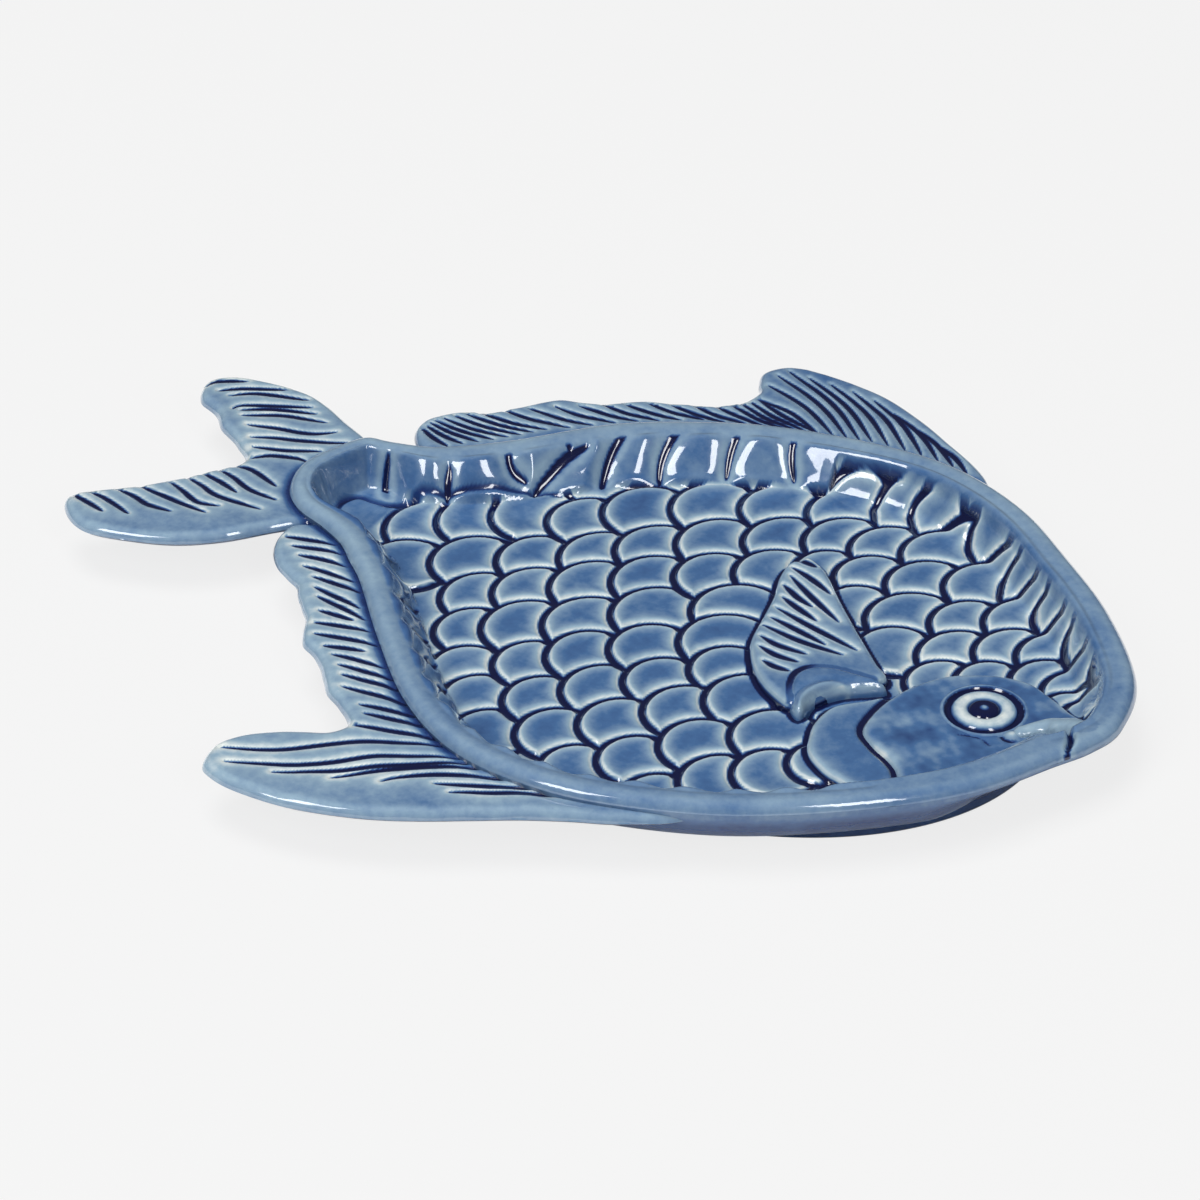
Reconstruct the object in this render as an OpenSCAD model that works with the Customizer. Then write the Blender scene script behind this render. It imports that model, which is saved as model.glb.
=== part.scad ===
/* [Plan] */
// Half the length of the scaled floor, which every outline share is a part of
half_l = 100; // [85:1:115]
// Breadth of the fish against the breadth that suits its length
breadth_share = 1; // [0.95:0.01:1.05]

/* [Dish] */
// Height of the rim's crest above the table
dish_h = 20; // [18:0.5:24]
// Height of the foot ring
foot_h = 3.5; // [2.5:0.5:5]
// Thickness of the floor
floor_t = 5.5; // [4.5:0.5:6.5]
// Width of the rolled rim
rim_w = 6.75; // [6:0.25:7.5]
// Plan width of the sloping wall between the rim and the floor
wall_run = 7.25; // [6.25:0.25:8]
// Plan width of the flare under the rim, from the fin seat to the flat underside
flare_run = 11; // [9:0.5:12]
// Width of the foot ring
foot_w = 6; // [4.5:0.5:8]
// Width of the notch that the mouth leaves across the rim
mouth_w = 2; // [1.5:0.1:2.5]
// Depth of the mouth's notch below the rim's crest
mouth_d = 3; // [2:0.25:4]

/* [Fins] */
// Thickness of the tail, dorsal and ventral fins
fin_t = 6.5; // [5.5:0.25:7]
// Depth of the fins' tops below the rim's crest
fin_drop = 3; // [2.5:0.25:4]
// Rounding of the fins' margins
fin_round = 1.8; // [1.2:0.1:2]
// Width of the grooves between fin rays
ray_w = 1.7; // [1.2:0.1:2.2]
// Depth of the grooves between fin rays
ray_d = 1.2; // [0.8:0.1:1.6]
// Grooves in the dorsal fin
dorsal_rays = 25; // [18:1:30]
// Grooves in the ventral fin
ventral_rays = 28; // [20:1:32]
// Grooves in each lobe of the tail fin
tail_rays = 9; // [6:1:11]

/* [Scales] */
// Height of a floor scale at its crown
scale_h = 1.5; // [1.2:0.1:1.9]
// Height of a floor scale at its edge
scale_edge_h = 0.7; // [0.5:0.1:0.9]
// Width of the groove round each scale
scale_gap = 1.3; // [1:0.1:1.6]
// Depth of the flutes that the border scales leave in the wall
flute_d = 1.1; // [0.8:0.1:1.4]

/* [Head and breast] */
// Height of the cheek above the floor
cheek_h = 3; // [2.5:0.25:3.5]
// Height of the gill cover above the floor
gill_h = 2.4; // [2:0.1:2.8]
// Height of the breast fin's blade above the floor
breast_h = 3; // [2.5:0.25:3.5]
// Height of the breast fin's fleshy root above the floor
root_h = 4.5; // [4:0.25:5]
// Radius of the raised ring round the eye
eye_r = 9.5; // [8.5:0.25:10.5]
// Width of the raised ring round the eye
eye_ring_w = 2.3; // [1.9:0.1:2.7]
// Height of the ring above the cheek
eye_ring_h = 1.2; // [0.8:0.1:1.6]
// Radius of the pupil
pupil_r = 3.8; // [3.2:0.1:4.2]
// Height of the pupil's dome above the eyeball
pupil_h = 1; // [0.7:0.1:1.3]

/* [Hidden] */

// Overrun of every cut past the face that it opens
over = 1;
// Curve steps between two outline points of the dish and of the smaller outlines
dish_steps = 5;
fine_steps = 4;
// Height of the eyeball's face above the cheek
eyeball_h = 0.6;
// Height of the glint bead on the pupil
glint_h = 0.5;
// Rounding of the top edges of the cheek, the gill cover and the breast fin
edge_round = 1.2;
// Depth and width of the breast fin's ray grooves
breast_ray_d = 1.1;
breast_ray_w = 1.7;
// Crown rise of the breast fin's fleshy root above its own edge
root_crown = 1.6;

floor_z = foot_h + floor_t;
fin_top = dish_h - fin_drop;
fin_bot = fin_top - fin_t;

// Outlines are listed counterclockwise in shares of half_l, nose along X, dorsal side along Y
dish_shares = [
    [1.335, 0.23], [1.28, 0.42], [1.10, 0.64], [0.90, 0.81], [0.70, 0.955], [0.48, 1.035],
    [0.25, 1.025], [0, 0.955], [-0.20, 0.86], [-0.40, 0.72], [-0.60, 0.52], [-0.75, 0.40],
    [-0.88, 0.36], [-0.97, 0.335], [-1.02, 0.25], [-1.025, 0.14], [-0.98, 0.02],
    [-0.87, -0.08], [-0.72, -0.13], [-0.58, -0.22], [-0.40, -0.40], [-0.20, -0.58],
    [0, -0.69], [0.20, -0.72], [0.42, -0.69], [0.70, -0.575], [0.95, -0.395],
    [1.15, -0.19], [1.265, 0.02], [1.315, 0.12]];
// Line that the dish narrows towards: its tail end and its head end
spine_shares = [[-0.72, 0.14], [0.75, 0.17]];
tail_shares = [
    [-0.88, 0.31], [-0.95, 0.365], [-1.05, 0.405], [-1.15, 0.45], [-1.25, 0.475],
    [-1.40, 0.46], [-1.49, 0.42], [-1.51, 0.365], [-1.47, 0.295], [-1.39, 0.255],
    [-1.33, 0.205], [-1.25, 0.16], [-1.18, 0.10], [-1.22, 0.02], [-1.31, -0.11],
    [-1.41, -0.21], [-1.47, -0.28], [-1.42, -0.35], [-1.33, -0.388], [-1.22, -0.365],
    [-1.10, -0.315], [-1.00, -0.235], [-0.92, -0.16], [-0.86, -0.03]];
dorsal_shares = [
    [0.62, 0.96], [0.50, 1.10], [0.30, 1.215], [0.10, 1.30], [-0.08, 1.32], [-0.20, 1.29],
    [-0.24, 1.23], [-0.20, 1.13], [-0.22, 1.06], [-0.28, 1.00], [-0.38, 0.955],
    [-0.46, 0.915], [-0.53, 0.855], [-0.62, 0.82], [-0.70, 0.745], [-0.75, 0.665],
    [-0.83, 0.615], [-0.89, 0.54], [-0.88, 0.47], [-0.80, 0.41], [-0.73, 0.34]];
ventral_shares = [
    [-0.80, -0.02], [-0.87, -0.07], [-0.89, -0.13], [-0.87, -0.19], [-0.81, -0.26],
    [-0.72, -0.31], [-0.65, -0.38], [-0.58, -0.47], [-0.50, -0.54], [-0.42, -0.61],
    [-0.33, -0.68], [-0.27, -0.73], [-0.29, -0.78], [-0.38, -0.84], [-0.46, -0.92],
    [-0.475, -1.01], [-0.43, -1.07], [-0.35, -1.09], [-0.20, -1.08], [-0.05, -1.03],
    [0.10, -0.95], [0.30, -0.825], [0.50, -0.73], [0.66, -0.55]];
breast_shares = [
    [0.29, 0.565], [0.25, 0.52], [0.255, 0.45], [0.29, 0.36], [0.32, 0.25], [0.35, 0.14],
    [0.41, 0.055], [0.49, -0.005], [0.575, -0.045], [0.63, 0.01], [0.67, 0.12],
    [0.74, 0.185], [0.66, 0.245], [0.55, 0.345], [0.44, 0.45], [0.36, 0.53]];
root_shares = [
    [0.73, 0.185], [0.65, 0.205], [0.57, 0.18], [0.52, 0.14], [0.52, 0.08], [0.55, 0.01],
    [0.585, -0.035], [0.62, -0.01], [0.66, 0.05], [0.71, 0.12]];
cheek_shares = [
    [0.755, 0.10], [0.75, 0.03], [0.77, -0.04], [0.83, -0.085], [0.92, -0.125],
    [1.05, -0.20], [1.25, 0.00], [1.25, 0.28], [1.12, 0.335], [1.00, 0.36], [0.90, 0.335],
    [0.83, 0.28], [0.785, 0.20]];
gill_shares = [
    [0.76, 0.14], [0.70, 0.065], [0.655, 0.00], [0.645, -0.06], [0.665, -0.12],
    [0.70, -0.18], [0.76, -0.215], [0.84, -0.22], [0.92, -0.21], [1.05, -0.18],
    [0.90, -0.02], [0.80, 0.10]];
eye_share = [0.985, 0.19];
// Plan points from which the whole of an outline is in sight
dish_hub_share = [0.25, 0.15];
tail_hub_share = [-0.98, 0.14];
dorsal_hub_share = [0.05, 0.76];
ventral_hub_share = [0.05, -0.64];
breast_hub_share = [0.47, 0.22];
gill_hub_share = [0.80, -0.08];
foot_centre_share = [0.28, 0.17];
foot_reach_share = [0.84, 0.65];
// Line of the mouth, from past the rim's outer edge to the corner of the jaw
mouth_shares = [[1.31, -0.04], [1.27, 0.05], [1.24, 0.13], [1.20, 0.20], [1.14, 0.215]];

// Ray grooves run between matched root and tip points, with more of them set between these
dorsal_root_shares = [
    [-0.68, 0.53], [-0.58, 0.66], [-0.42, 0.81], [-0.25, 0.93], [-0.06, 1.00],
    [0.04, 1.035], [0.14, 1.06], [0.27, 1.08], [0.40, 1.085]];
dorsal_tip_shares = [
    [-0.86, 0.50], [-0.79, 0.63], [-0.62, 0.79], [-0.43, 0.91], [-0.23, 1.02],
    [-0.18, 1.13], [-0.21, 1.24], [-0.02, 1.27], [0.20, 1.20]];
ventral_root_shares = [
    [-0.76, -0.13], [-0.60, -0.23], [-0.48, -0.35], [-0.32, -0.50], [-0.17, -0.62],
    [-0.03, -0.70], [0.05, -0.73], [0.20, -0.74], [0.38, -0.715]];
ventral_tip_shares = [
    [-0.86, -0.15], [-0.74, -0.265], [-0.62, -0.36], [-0.46, -0.53], [-0.34, -0.64],
    [-0.27, -0.74], [-0.43, -1.00], [-0.14, -1.01], [0.12, -0.88]];
tail_up_root_shares = [
    [-1.05, 0.19], [-1.07, 0.26], [-1.08, 0.33], [-1.12, 0.385], [-1.22, 0.435],
    [-1.40, 0.44]];
tail_up_tip_shares = [
    [-1.17, 0.125], [-1.22, 0.18], [-1.28, 0.235], [-1.36, 0.275], [-1.43, 0.33],
    [-1.485, 0.37]];
tail_low_root_shares = [
    [-1.05, 0.06], [-1.03, -0.01], [-1.02, -0.08], [-1.07, -0.16], [-1.16, -0.25],
    [-1.32, -0.345]];
tail_low_tip_shares = [
    [-1.18, 0.08], [-1.21, 0.00], [-1.26, -0.07], [-1.33, -0.17], [-1.40, -0.24],
    [-1.44, -0.30]];
breast_root_shares = [
    [0.35, 0.515], [0.47, 0.40], [0.56, 0.30], [0.59, 0.225], [0.51, 0.165],
    [0.50, 0.08]];
breast_tip_shares = [
    [0.275, 0.52], [0.285, 0.43], [0.315, 0.33], [0.335, 0.24], [0.365, 0.155],
    [0.42, 0.075]];
breast_rays = 9;

// Floor scales, one row a line from the tail to the head: centre X, centre Y, radius
scale_shares = [
    [-0.635, 0.195, 0.133], [-0.54, 0.295, 0.13], [-0.435, 0.39, 0.138], [-0.305, 0.44, 0.116],
    [-0.195, 0.56, 0.127], [-0.05, 0.67, 0.129], [0.095, 0.76, 0.117], [0.25, 0.84, 0.12],
    [-0.60, 0.015, 0.12], [-0.45, 0.12, 0.124], [-0.315, 0.215, 0.117], [-0.18, 0.315, 0.123],
    [-0.075, 0.42, 0.122], [0.045, 0.53, 0.123], [0.185, 0.63, 0.12], [0.32, 0.71, 0.12],
    [0.44, 0.75, 0.108], [0.57, 0.82, 0.122],
    [-0.345, -0.005, 0.115], [-0.24, 0.085, 0.119], [-0.125, 0.185, 0.124],
    [-0.005, 0.29, 0.123], [0.11, 0.39, 0.112], [0.235, 0.485, 0.114], [0.34, 0.57, 0.095],
    [0.455, 0.60, 0.105], [0.595, 0.645, 0.117], [0.74, 0.735, 0.126], [0.88, 0.61, 0.115],
    [-0.28, -0.145, 0.107], [-0.17, -0.06, 0.126], [-0.045, 0.035, 0.128],
    [0.075, 0.165, 0.126], [0.24, 0.285, 0.125], [0.485, 0.465, 0.097],
    [0.635, 0.485, 0.126], [0.77, 0.545, 0.111], [0.93, 0.49, 0.112],
    [-0.205, -0.29, 0.10], [-0.075, -0.19, 0.105], [0.025, -0.085, 0.114],
    [0.14, 0.025, 0.112], [0.285, 0.15, 0.126], [0.66, 0.34, 0.108], [0.815, 0.405, 0.117],
    [0.92, 0.365, 0.09], [1.05, 0.42, 0.102],
    [-0.11, -0.38, 0.10], [0.03, -0.305, 0.106], [0.135, -0.19, 0.113], [0.24, -0.08, 0.106],
    [0.35, 0.05, 0.104], [0.83, 0.28, 0.101],
    [-0.01, -0.49, 0.10], [0.135, -0.405, 0.109], [0.245, -0.29, 0.111],
    [0.355, -0.16, 0.114], [0.46, -0.04, 0.116],
    [0.25, -0.50, 0.098], [0.355, -0.395, 0.102], [0.46, -0.26, 0.113],
    [0.59, -0.135, 0.116], [0.47, -0.49, 0.09], [0.57, -0.36, 0.108],
    [0.66, -0.27, 0.103]];

// Profiles from below upwards: share of the plan run, then share of the height
flare_shares = [[1, 0], [0.72, 0.10], [0.36, 0.44], [0.12, 0.78], [0, 1]];
roll_shares = [[0.14, 0.64], [0.42, 1], [0.78, 0.88], [1, 0.42]];
wall_shares = [[0.30, 0.64], [0.58, 0.30], [0.82, 0.08], [1, 0]];
// Rise of each border scale across its width, from groove to groove
flute_shares = [0.3, 0.8, 1, 1, 0.6];

// One point of a smooth curve through b and c
function spline(a, b, c, d, t) =
    (2 * b + (c - a) * t + (2 * a - 5 * b + 4 * c - d) * t * t
     + (3 * b - a - 3 * c + d) * t * t * t) / 2;
function pick(pts, i) = pts[max(0, min(len(pts) - 1, i))];
function wrap(pts, i) = pts[(i + len(pts)) % len(pts)];
// Smooth closed curve through all the points
function closed_curve(pts, steps) =
    [for (i = [0:len(pts) - 1], k = [0:steps - 1])
        spline(wrap(pts, i - 1), pts[i], wrap(pts, i + 1), wrap(pts, i + 2), k / steps)];
// Smooth open curve from the first point to the last
function open_curve(pts, steps) =
    concat([for (i = [0:len(pts) - 2], k = [0:steps - 1])
        spline(pick(pts, i - 1), pts[i], pts[i + 1], pick(pts, i + 2), k / steps)],
        [pts[len(pts) - 1]]);
// Point at a share t of the way along an open list of points
function along(pts, t) =
    let (u = t * (len(pts) - 1), i = min(len(pts) - 2, floor(u)))
    spline(pick(pts, i - 1), pts[i], pts[i + 1], pick(pts, i + 2), u - i);

// Plan point in millimetres from a pair of shares
function plan(s) = [s.x * half_l, s.y * half_l * breadth_share];
function plans(list) = [for (s = list) plan(s)];
function unit(v) = v / norm(v);
// Outward direction of a counterclockwise outline at point i
function outward(pts, i) =
    let (t = unit(wrap(pts, i + 1) - wrap(pts, i - 1))) [t.y, -t.x];
// Outline moved inwards by d everywhere
function inset(pts, d) = [for (i = [0:len(pts) - 1]) pts[i] - d * outward(pts, i)];
function lift(pts, z) = [for (p = pts) [p.x, p.y, z]];

spine = plans(spine_shares);
// Nearest point of the spine
function spine_at(p) =
    let (v = spine[1] - spine[0], t = (p - spine[0]) * v / (v * v))
    spine[0] + v * max(0, min(1, t));
// Outline drawn in towards the spine until it lies d inside, measured square to the edge
function drawn_in(pts, d) =
    [for (i = [0:len(pts) - 1])
        let (s = spine_at(pts[i]), u = unit(s - pts[i]))
        pts[i] + u * d / max(0.6, -(u * outward(pts, i)))];

dish_line = closed_curve(plans(dish_shares), dish_steps);
tail_line = open_curve(plans(tail_shares), fine_steps);
dorsal_line = open_curve(plans(dorsal_shares), fine_steps);
ventral_line = open_curve(plans(ventral_shares), fine_steps);
breast_line = closed_curve(plans(breast_shares), fine_steps);
root_line = closed_curve(plans(root_shares), fine_steps);
cheek_line = closed_curve(plans(cheek_shares), fine_steps);
gill_line = closed_curve(plans(gill_shares), fine_steps);
floor_line = drawn_in(dish_line, rim_w + wall_run);
all_line = concat(dish_line, tail_line, dorsal_line, ventral_line);
low = [min([for (p = all_line) p.x]), min([for (p = all_line) p.y])];
high = [max([for (p = all_line) p.x]), max([for (p = all_line) p.y])];
eye = plan(eye_share);
// Lines that the floor scales stop short of
scale_borders = [floor_line, breast_line, cheek_line, gill_line];
// Length past every edge of the plan
far = 4 * half_l;
// Corners of a scale's outline, and how far its middle lies towards the tail from its centre
scale_sides = 24;
scale_seed_share = 0.35;

// Solid through a stack of rings with the same number of points each. Both ends are closed by a
// fan about the hub, a plan point that sees the whole of every ring
module loft(rings, hub) {
    n = len(rings[0]);
    m = len(rings);
    hubs = [[hub.x, hub.y, rings[0][0].z], [hub.x, hub.y, rings[m - 1][0].z]];
    sides = [for (k = [0:m - 2], i = [0:n - 1]) each
        let (a = k * n + i, b = k * n + (i + 1) % n) [[a, b + n, b], [a, a + n, b + n]]];
    bottom = [for (i = [0:n - 1]) [i, (i + 1) % n, m * n]];
    top = [for (i = [0:n - 1]) [(m - 1) * n + (i + 1) % n, (m - 1) * n + i, m * n + 1]];
    polyhedron(points = concat([for (r = rings) each r], hubs),
        faces = concat(bottom, sides, top), convexity = 8);
}

// Slab with a plain lower edge and a rounded upper edge
module rounded_slab(line, hub, z, h, r) {
    loft([lift(line, z), lift(line, z + h - r), lift(inset(line, r * (1 - cos(45))),
        z + h - r + r * sin(45)), lift(inset(line, r), z + h)], hub);
}

// Slab whose upper and lower edges are both rounded
module fin_slab(line, hub) {
    r = fin_round;
    loft([lift(inset(line, r), fin_bot), lift(line, fin_bot + r), lift(line, fin_top - r),
        lift(inset(line, r * (1 - cos(45))), fin_top - r + r * sin(45)),
        lift(inset(line, r), fin_top)], hub);
}

// Upright prism of an outline
module prism(line, z, h) {
    translate([0, 0, z])
        linear_extrude(height = h)
            polygon(line);
}

// Bowed groove cutter that tapers to both ends
module ray_cut(root, tip, w, z, h) {
    side = unit([root.y - tip.y, tip.x - root.x]);
    bow = w / 2;
    edge = [for (t = [0:1 / 5:1]) [t, w / 2 * (0.25 + 0.75 * sin(180 * t))]];
    prism(concat(
        [for (e = edge) root + (tip - root) * e.x + side * (bow * sin(180 * e.x) + e.y)],
        [for (k = [len(edge) - 1:-1:0]) root + (tip - root) * edge[k].x
            + side * (bow * sin(180 * edge[k].x) - edge[k].y)]), z, h);
}

// Row of ray grooves between a root line and a tip line
module ray_cuts(roots, tips, count, w, z, h) {
    for (k = [0:count - 1])
        ray_cut(along(plans(roots), k / (count - 1)), along(plans(tips), k / (count - 1)),
            w, z, h);
}

module fin_rays(roots, tips, count) {
    ray_cuts(roots, tips, count, ray_w, fin_top - ray_d, ray_d + over);
}

// Upright face of the rim, where the fins seat
module dish_core() {
    prism(dish_line, fin_bot - over, fin_t + 2 * over);
}

function flare_ring(s) =
    lift(drawn_in(dish_line, flare_run * s.x), foot_h + (fin_bot - foot_h) * s.y);
function roll_ring(s) =
    lift(drawn_in(dish_line, rim_w * s.x), fin_top + fin_drop * s.y);
lip_z = fin_top + fin_drop * roll_shares[len(roll_shares) - 1].y;
function wall_z(s) = floor_z + (lip_z - floor_z) * s.y;
function wall_ring(s) = lift(drawn_in(dish_line, rim_w + wall_run * s.x), wall_z(s));

// Sideways direction of an open curve at point i
function sideways(pts, i) =
    let (t = unit(pick(pts, i + 1) - pick(pts, i - 1))) [t.y, -t.x];

// Curved notch that the mouth leaves in the rim
module mouth_cut() {
    curve = open_curve(plans(mouth_shares), fine_steps);
    last = len(curve) - 1;
    prism(concat(
        [for (i = [0:last]) curve[i] + sideways(curve, i) * mouth_w / 2],
        [for (i = [last:-1:0]) curve[i] - sideways(curve, i) * mouth_w / 2]),
        dish_h - mouth_d, mouth_d + over);
}

module dish_shell() {
    color("steelblue")
        difference() {
            loft(concat([for (s = flare_shares) flare_ring(s)], [lift(dish_line, fin_top)],
                [for (s = roll_shares) roll_ring(s)], [for (s = wall_shares) wall_ring(s)]),
                plan(dish_hub_share));
            mouth_cut();
        }
}

// Wall ring that stands proud of the wall by the flutes' rise, less at its two ends
function fluted_ring(s, rise) =
    let (line = drawn_in(dish_line, rim_w + wall_run * s.x))
    [for (i = [0:len(line) - 1])
        let (p = line[i] + unit(spine_at(line[i]) - line[i]) * flute_d * rise
            * flute_shares[i % len(flute_shares)])
        [p.x, p.y, wall_z(s)]];

module border_scales() {
    backs = [for (k = [0:len(wall_shares) - 2]) wall_ring(wall_shares[k])];
    n = len(dish_line);
    fronts = [for (k = [len(wall_shares) - 2:-1:0])
        fluted_ring(wall_shares[k], k == 0 ? 0.35 : 1)];
    rings = concat(backs, fronts);
    m = len(rings);
    color("slateblue")
        polyhedron(points = [for (r = rings) each r],
            faces = [for (k = [0:m - 1], i = [0:n - 1]) each
                let (a = k * n + i, b = k * n + (i + 1) % n, c = ((k + 1) % m) * n + i,
                    d = ((k + 1) % m) * n + (i + 1) % n) [[a, d, b], [a, c, d]]],
            convexity = 8);
}

function scale_at(s) = plan([s.x, s.y]);
function scale_r(s) = s.z * half_l;
function cross_of(a, b) = a.x * b.y - a.y * b.x;
// Distance from p along u to the segment from a to b
function to_segment(p, u, a, b) =
    let (v = b - a, w = a - p, k = cross_of(u, v), t = cross_of(w, v) / k,
        q = cross_of(w, u) / k)
    t > 0 && q >= 0 && q <= 1 ? t : far;
function to_line(p, u, line) =
    min([for (i = [0:len(line) - 1]) to_segment(p, u, line[i], wrap(line, i + 1))]);
// Distance from p along u to the near side of a circle that p lies outside
function to_circle(p, u, c, r) =
    let (m = (c - p) * u, h = m * m - (c - p) * (c - p) + r * r)
    m > 0 && h > 0 ? m - sqrt(h) : far;
// Distance from p along u to the circle round p
function out_of_circle(p, u, c, r) =
    let (m = (c - p) * u) m + sqrt(m * m - (c - p) * (c - p) + r * r);
// Scales nearer the head lie over the ones behind them
function covers(s) = [for (j = scale_shares)
    if (j.x > s.x && norm(scale_at(j) - scale_at(s)) < scale_r(j) + scale_r(s)) j];

// Free outline of a scale: its circle, less the scales, fins and wall that cover it
function scale_line(s) =
    let (c = scale_at(s), r = scale_r(s) - scale_gap / 2, p = c - [r * scale_seed_share, 0],
        over_it = covers(s), near_lines = [for (line = scale_borders)
            if (min([for (q = line) norm(q - c)]) < 2 * r) line])
    [for (a = [0:360 / scale_sides:359])
        let (u = [cos(a), sin(a)])
        p + u * min(concat([out_of_circle(p, u, c, r)],
            [for (j = over_it) to_circle(p, u, scale_at(j), scale_r(j) + scale_gap / 2)],
            [for (line = near_lines) to_line(p, u, line) - scale_gap]))];

module floor_scale(s) {
    r = scale_r(s) - scale_gap / 2;
    rise = scale_h - scale_edge_h;
    dome_r = (r * r + rise * rise) / (2 * rise);
    intersection() {
        prism(scale_line(s), floor_z, scale_h);
        translate([scale_at(s).x, scale_at(s).y, floor_z + scale_h - dome_r])
            sphere(r = dome_r, $fn = 240);
    }
}

module floor_scales() {
    color("cornflowerblue")
        for (s = scale_shares)
            floor_scale(s);
}

// Oval in plan about the foot's centre, drawn in by d
function foot_oval(d) =
    let (c = plan(foot_centre_share), r = plan(foot_reach_share) - [d, d])
    [for (a = [0:5:355]) c + [r.x * cos(a), r.y * sin(a)]];

module foot_ring() {
    color("lightsteelblue")
        difference() {
            prism(foot_oval(0), 0, foot_h);
            prism(foot_oval(foot_w), -over, foot_h + 2 * over);
        }
}

module tail_fin() {
    color("lightblue")
        difference() {
            fin_slab(tail_line, plan(tail_hub_share));
            dish_core();
            fin_rays(tail_up_root_shares, tail_up_tip_shares, tail_rays);
            fin_rays(tail_low_root_shares, tail_low_tip_shares, tail_rays);
        }
}

module dorsal_fin() {
    color("lightblue")
        difference() {
            fin_slab(dorsal_line, plan(dorsal_hub_share));
            dish_core();
            fin_rays(dorsal_root_shares, dorsal_tip_shares, dorsal_rays);
        }
}

module ventral_fin() {
    color("lightblue")
        difference() {
            fin_slab(ventral_line, plan(ventral_hub_share));
            dish_core();
            prism(tail_line, fin_bot - over, fin_t + 2 * over);
            fin_rays(ventral_root_shares, ventral_tip_shares, ventral_rays);
        }
}

module breast_fin() {
    color("powderblue")
        difference() {
            rounded_slab(breast_line, plan(breast_hub_share), floor_z, breast_h, edge_round);
            prism(root_line, floor_z - over, breast_h + 2 * over);
            prism(gill_line, floor_z - over, breast_h + 2 * over);
            ray_cuts(breast_root_shares, breast_tip_shares, breast_rays, breast_ray_w,
                floor_z + breast_h - breast_ray_d, breast_ray_d + over);
        }
}

module breast_fin_root() {
    centre = plan(root_shares[3]) / 2 + plan(root_shares[8]) / 2;
    reach = norm(plan(root_shares[0]) - plan(root_shares[6])) / 2;
    dome_r = (reach * reach + root_crown * root_crown) / (2 * root_crown);
    color("skyblue")
        difference() {
            intersection() {
                prism(root_line, floor_z, root_h);
                translate([centre.x, centre.y, floor_z + root_h - dome_r])
                    sphere(r = dome_r, $fn = 96);
            }
            prism(gill_line, floor_z - over, root_h + 2 * over);
        }
}

module cheek() {
    color("steelblue")
        intersection() {
            rounded_slab(cheek_line, eye, floor_z, cheek_h, edge_round);
            prism(floor_line, floor_z - over, cheek_h + 2 * over);
        }
}

module gill_cover() {
    color("royalblue")
        difference() {
            intersection() {
                rounded_slab(gill_line, plan(gill_hub_share), floor_z, gill_h, edge_round);
                prism(floor_line, floor_z - over, gill_h + 2 * over);
            }
            prism(cheek_line, floor_z - over, gill_h + 2 * over);
        }
}

module eye_ring() {
    color("midnightblue")
        translate([eye.x, eye.y, floor_z + cheek_h])
            rotate_extrude($fn = 96)
                translate([eye_r - eye_ring_w / 2, 0])
                    intersection() {
                        translate([0, eye_ring_h - eye_ring_w / 2])
                            circle(d = eye_ring_w, $fn = 32);
                        translate([-eye_ring_w, 0])
                            square([2 * eye_ring_w, 2 * eye_ring_w]);
                    }
}

module eyeball() {
    color("lightcyan")
        translate([eye.x, eye.y, floor_z + cheek_h])
            cylinder(r = eye_r - eye_ring_w, h = eyeball_h, $fn = 96);
}

module pupil() {
    dome_r = (pupil_r * pupil_r + pupil_h * pupil_h) / (2 * pupil_h);
    color("black")
        translate([eye.x, eye.y, floor_z + cheek_h + eyeball_h]) {
            intersection() {
                cylinder(r = pupil_r, h = pupil_h, $fn = 64);
                translate([0, 0, pupil_h - dome_r])
                    sphere(r = dome_r, $fn = 96);
            }
            translate([0, 0, pupil_h + glint_h / 2 - glint_h])
                sphere(r = glint_h, $fn = 32);
        }
}

// Places a piece so that the whole plan is centred on the origin
module placed() {
    translate([-(low.x + high.x) / 2, -(low.y + high.y) / 2, 0])
        children();
}

placed() dish_shell();
placed() border_scales();
placed() floor_scales();
placed() foot_ring();
placed() tail_fin();
placed() dorsal_fin();
placed() ventral_fin();
placed() breast_fin();
placed() breast_fin_root();
placed() cheek();
placed() gill_cover();
placed() eye_ring();
placed() eyeball();
placed() pupil();
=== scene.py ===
"""Fish shaped platter: glazed relief, built as fine height-field meshes over the CAD solids."""
import math

import bpy
import numpy as np
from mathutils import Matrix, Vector
from mathutils.geometry import delaunay_2d_cdt


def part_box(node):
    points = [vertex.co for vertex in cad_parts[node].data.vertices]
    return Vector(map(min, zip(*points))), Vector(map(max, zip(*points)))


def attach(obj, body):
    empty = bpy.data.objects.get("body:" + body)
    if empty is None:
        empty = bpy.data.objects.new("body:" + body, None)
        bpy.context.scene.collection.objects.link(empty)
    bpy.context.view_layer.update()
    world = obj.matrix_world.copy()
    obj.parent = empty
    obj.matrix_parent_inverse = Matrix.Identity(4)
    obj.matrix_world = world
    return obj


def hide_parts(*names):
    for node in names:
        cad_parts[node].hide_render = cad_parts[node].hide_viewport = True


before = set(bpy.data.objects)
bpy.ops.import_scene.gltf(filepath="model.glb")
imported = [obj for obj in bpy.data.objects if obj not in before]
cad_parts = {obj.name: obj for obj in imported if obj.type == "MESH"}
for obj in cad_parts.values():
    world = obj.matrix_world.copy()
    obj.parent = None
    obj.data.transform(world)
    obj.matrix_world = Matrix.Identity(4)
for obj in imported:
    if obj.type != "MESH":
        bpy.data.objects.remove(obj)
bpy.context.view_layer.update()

# Frame and sizes. Lengths are millimetres until a mesh is made. Plan places are measured from
# the middle of the body, X towards the nose and Y towards the dorsal fin, and heights from the
# crest of the rim.
MM = 0.001
EYE = (98.5, 19.0)     # the eye's centre, which ties the plan to the solids
eye_lo, eye_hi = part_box("eye_ring")
top_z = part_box("dish_shell")[1].z / MM
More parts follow.
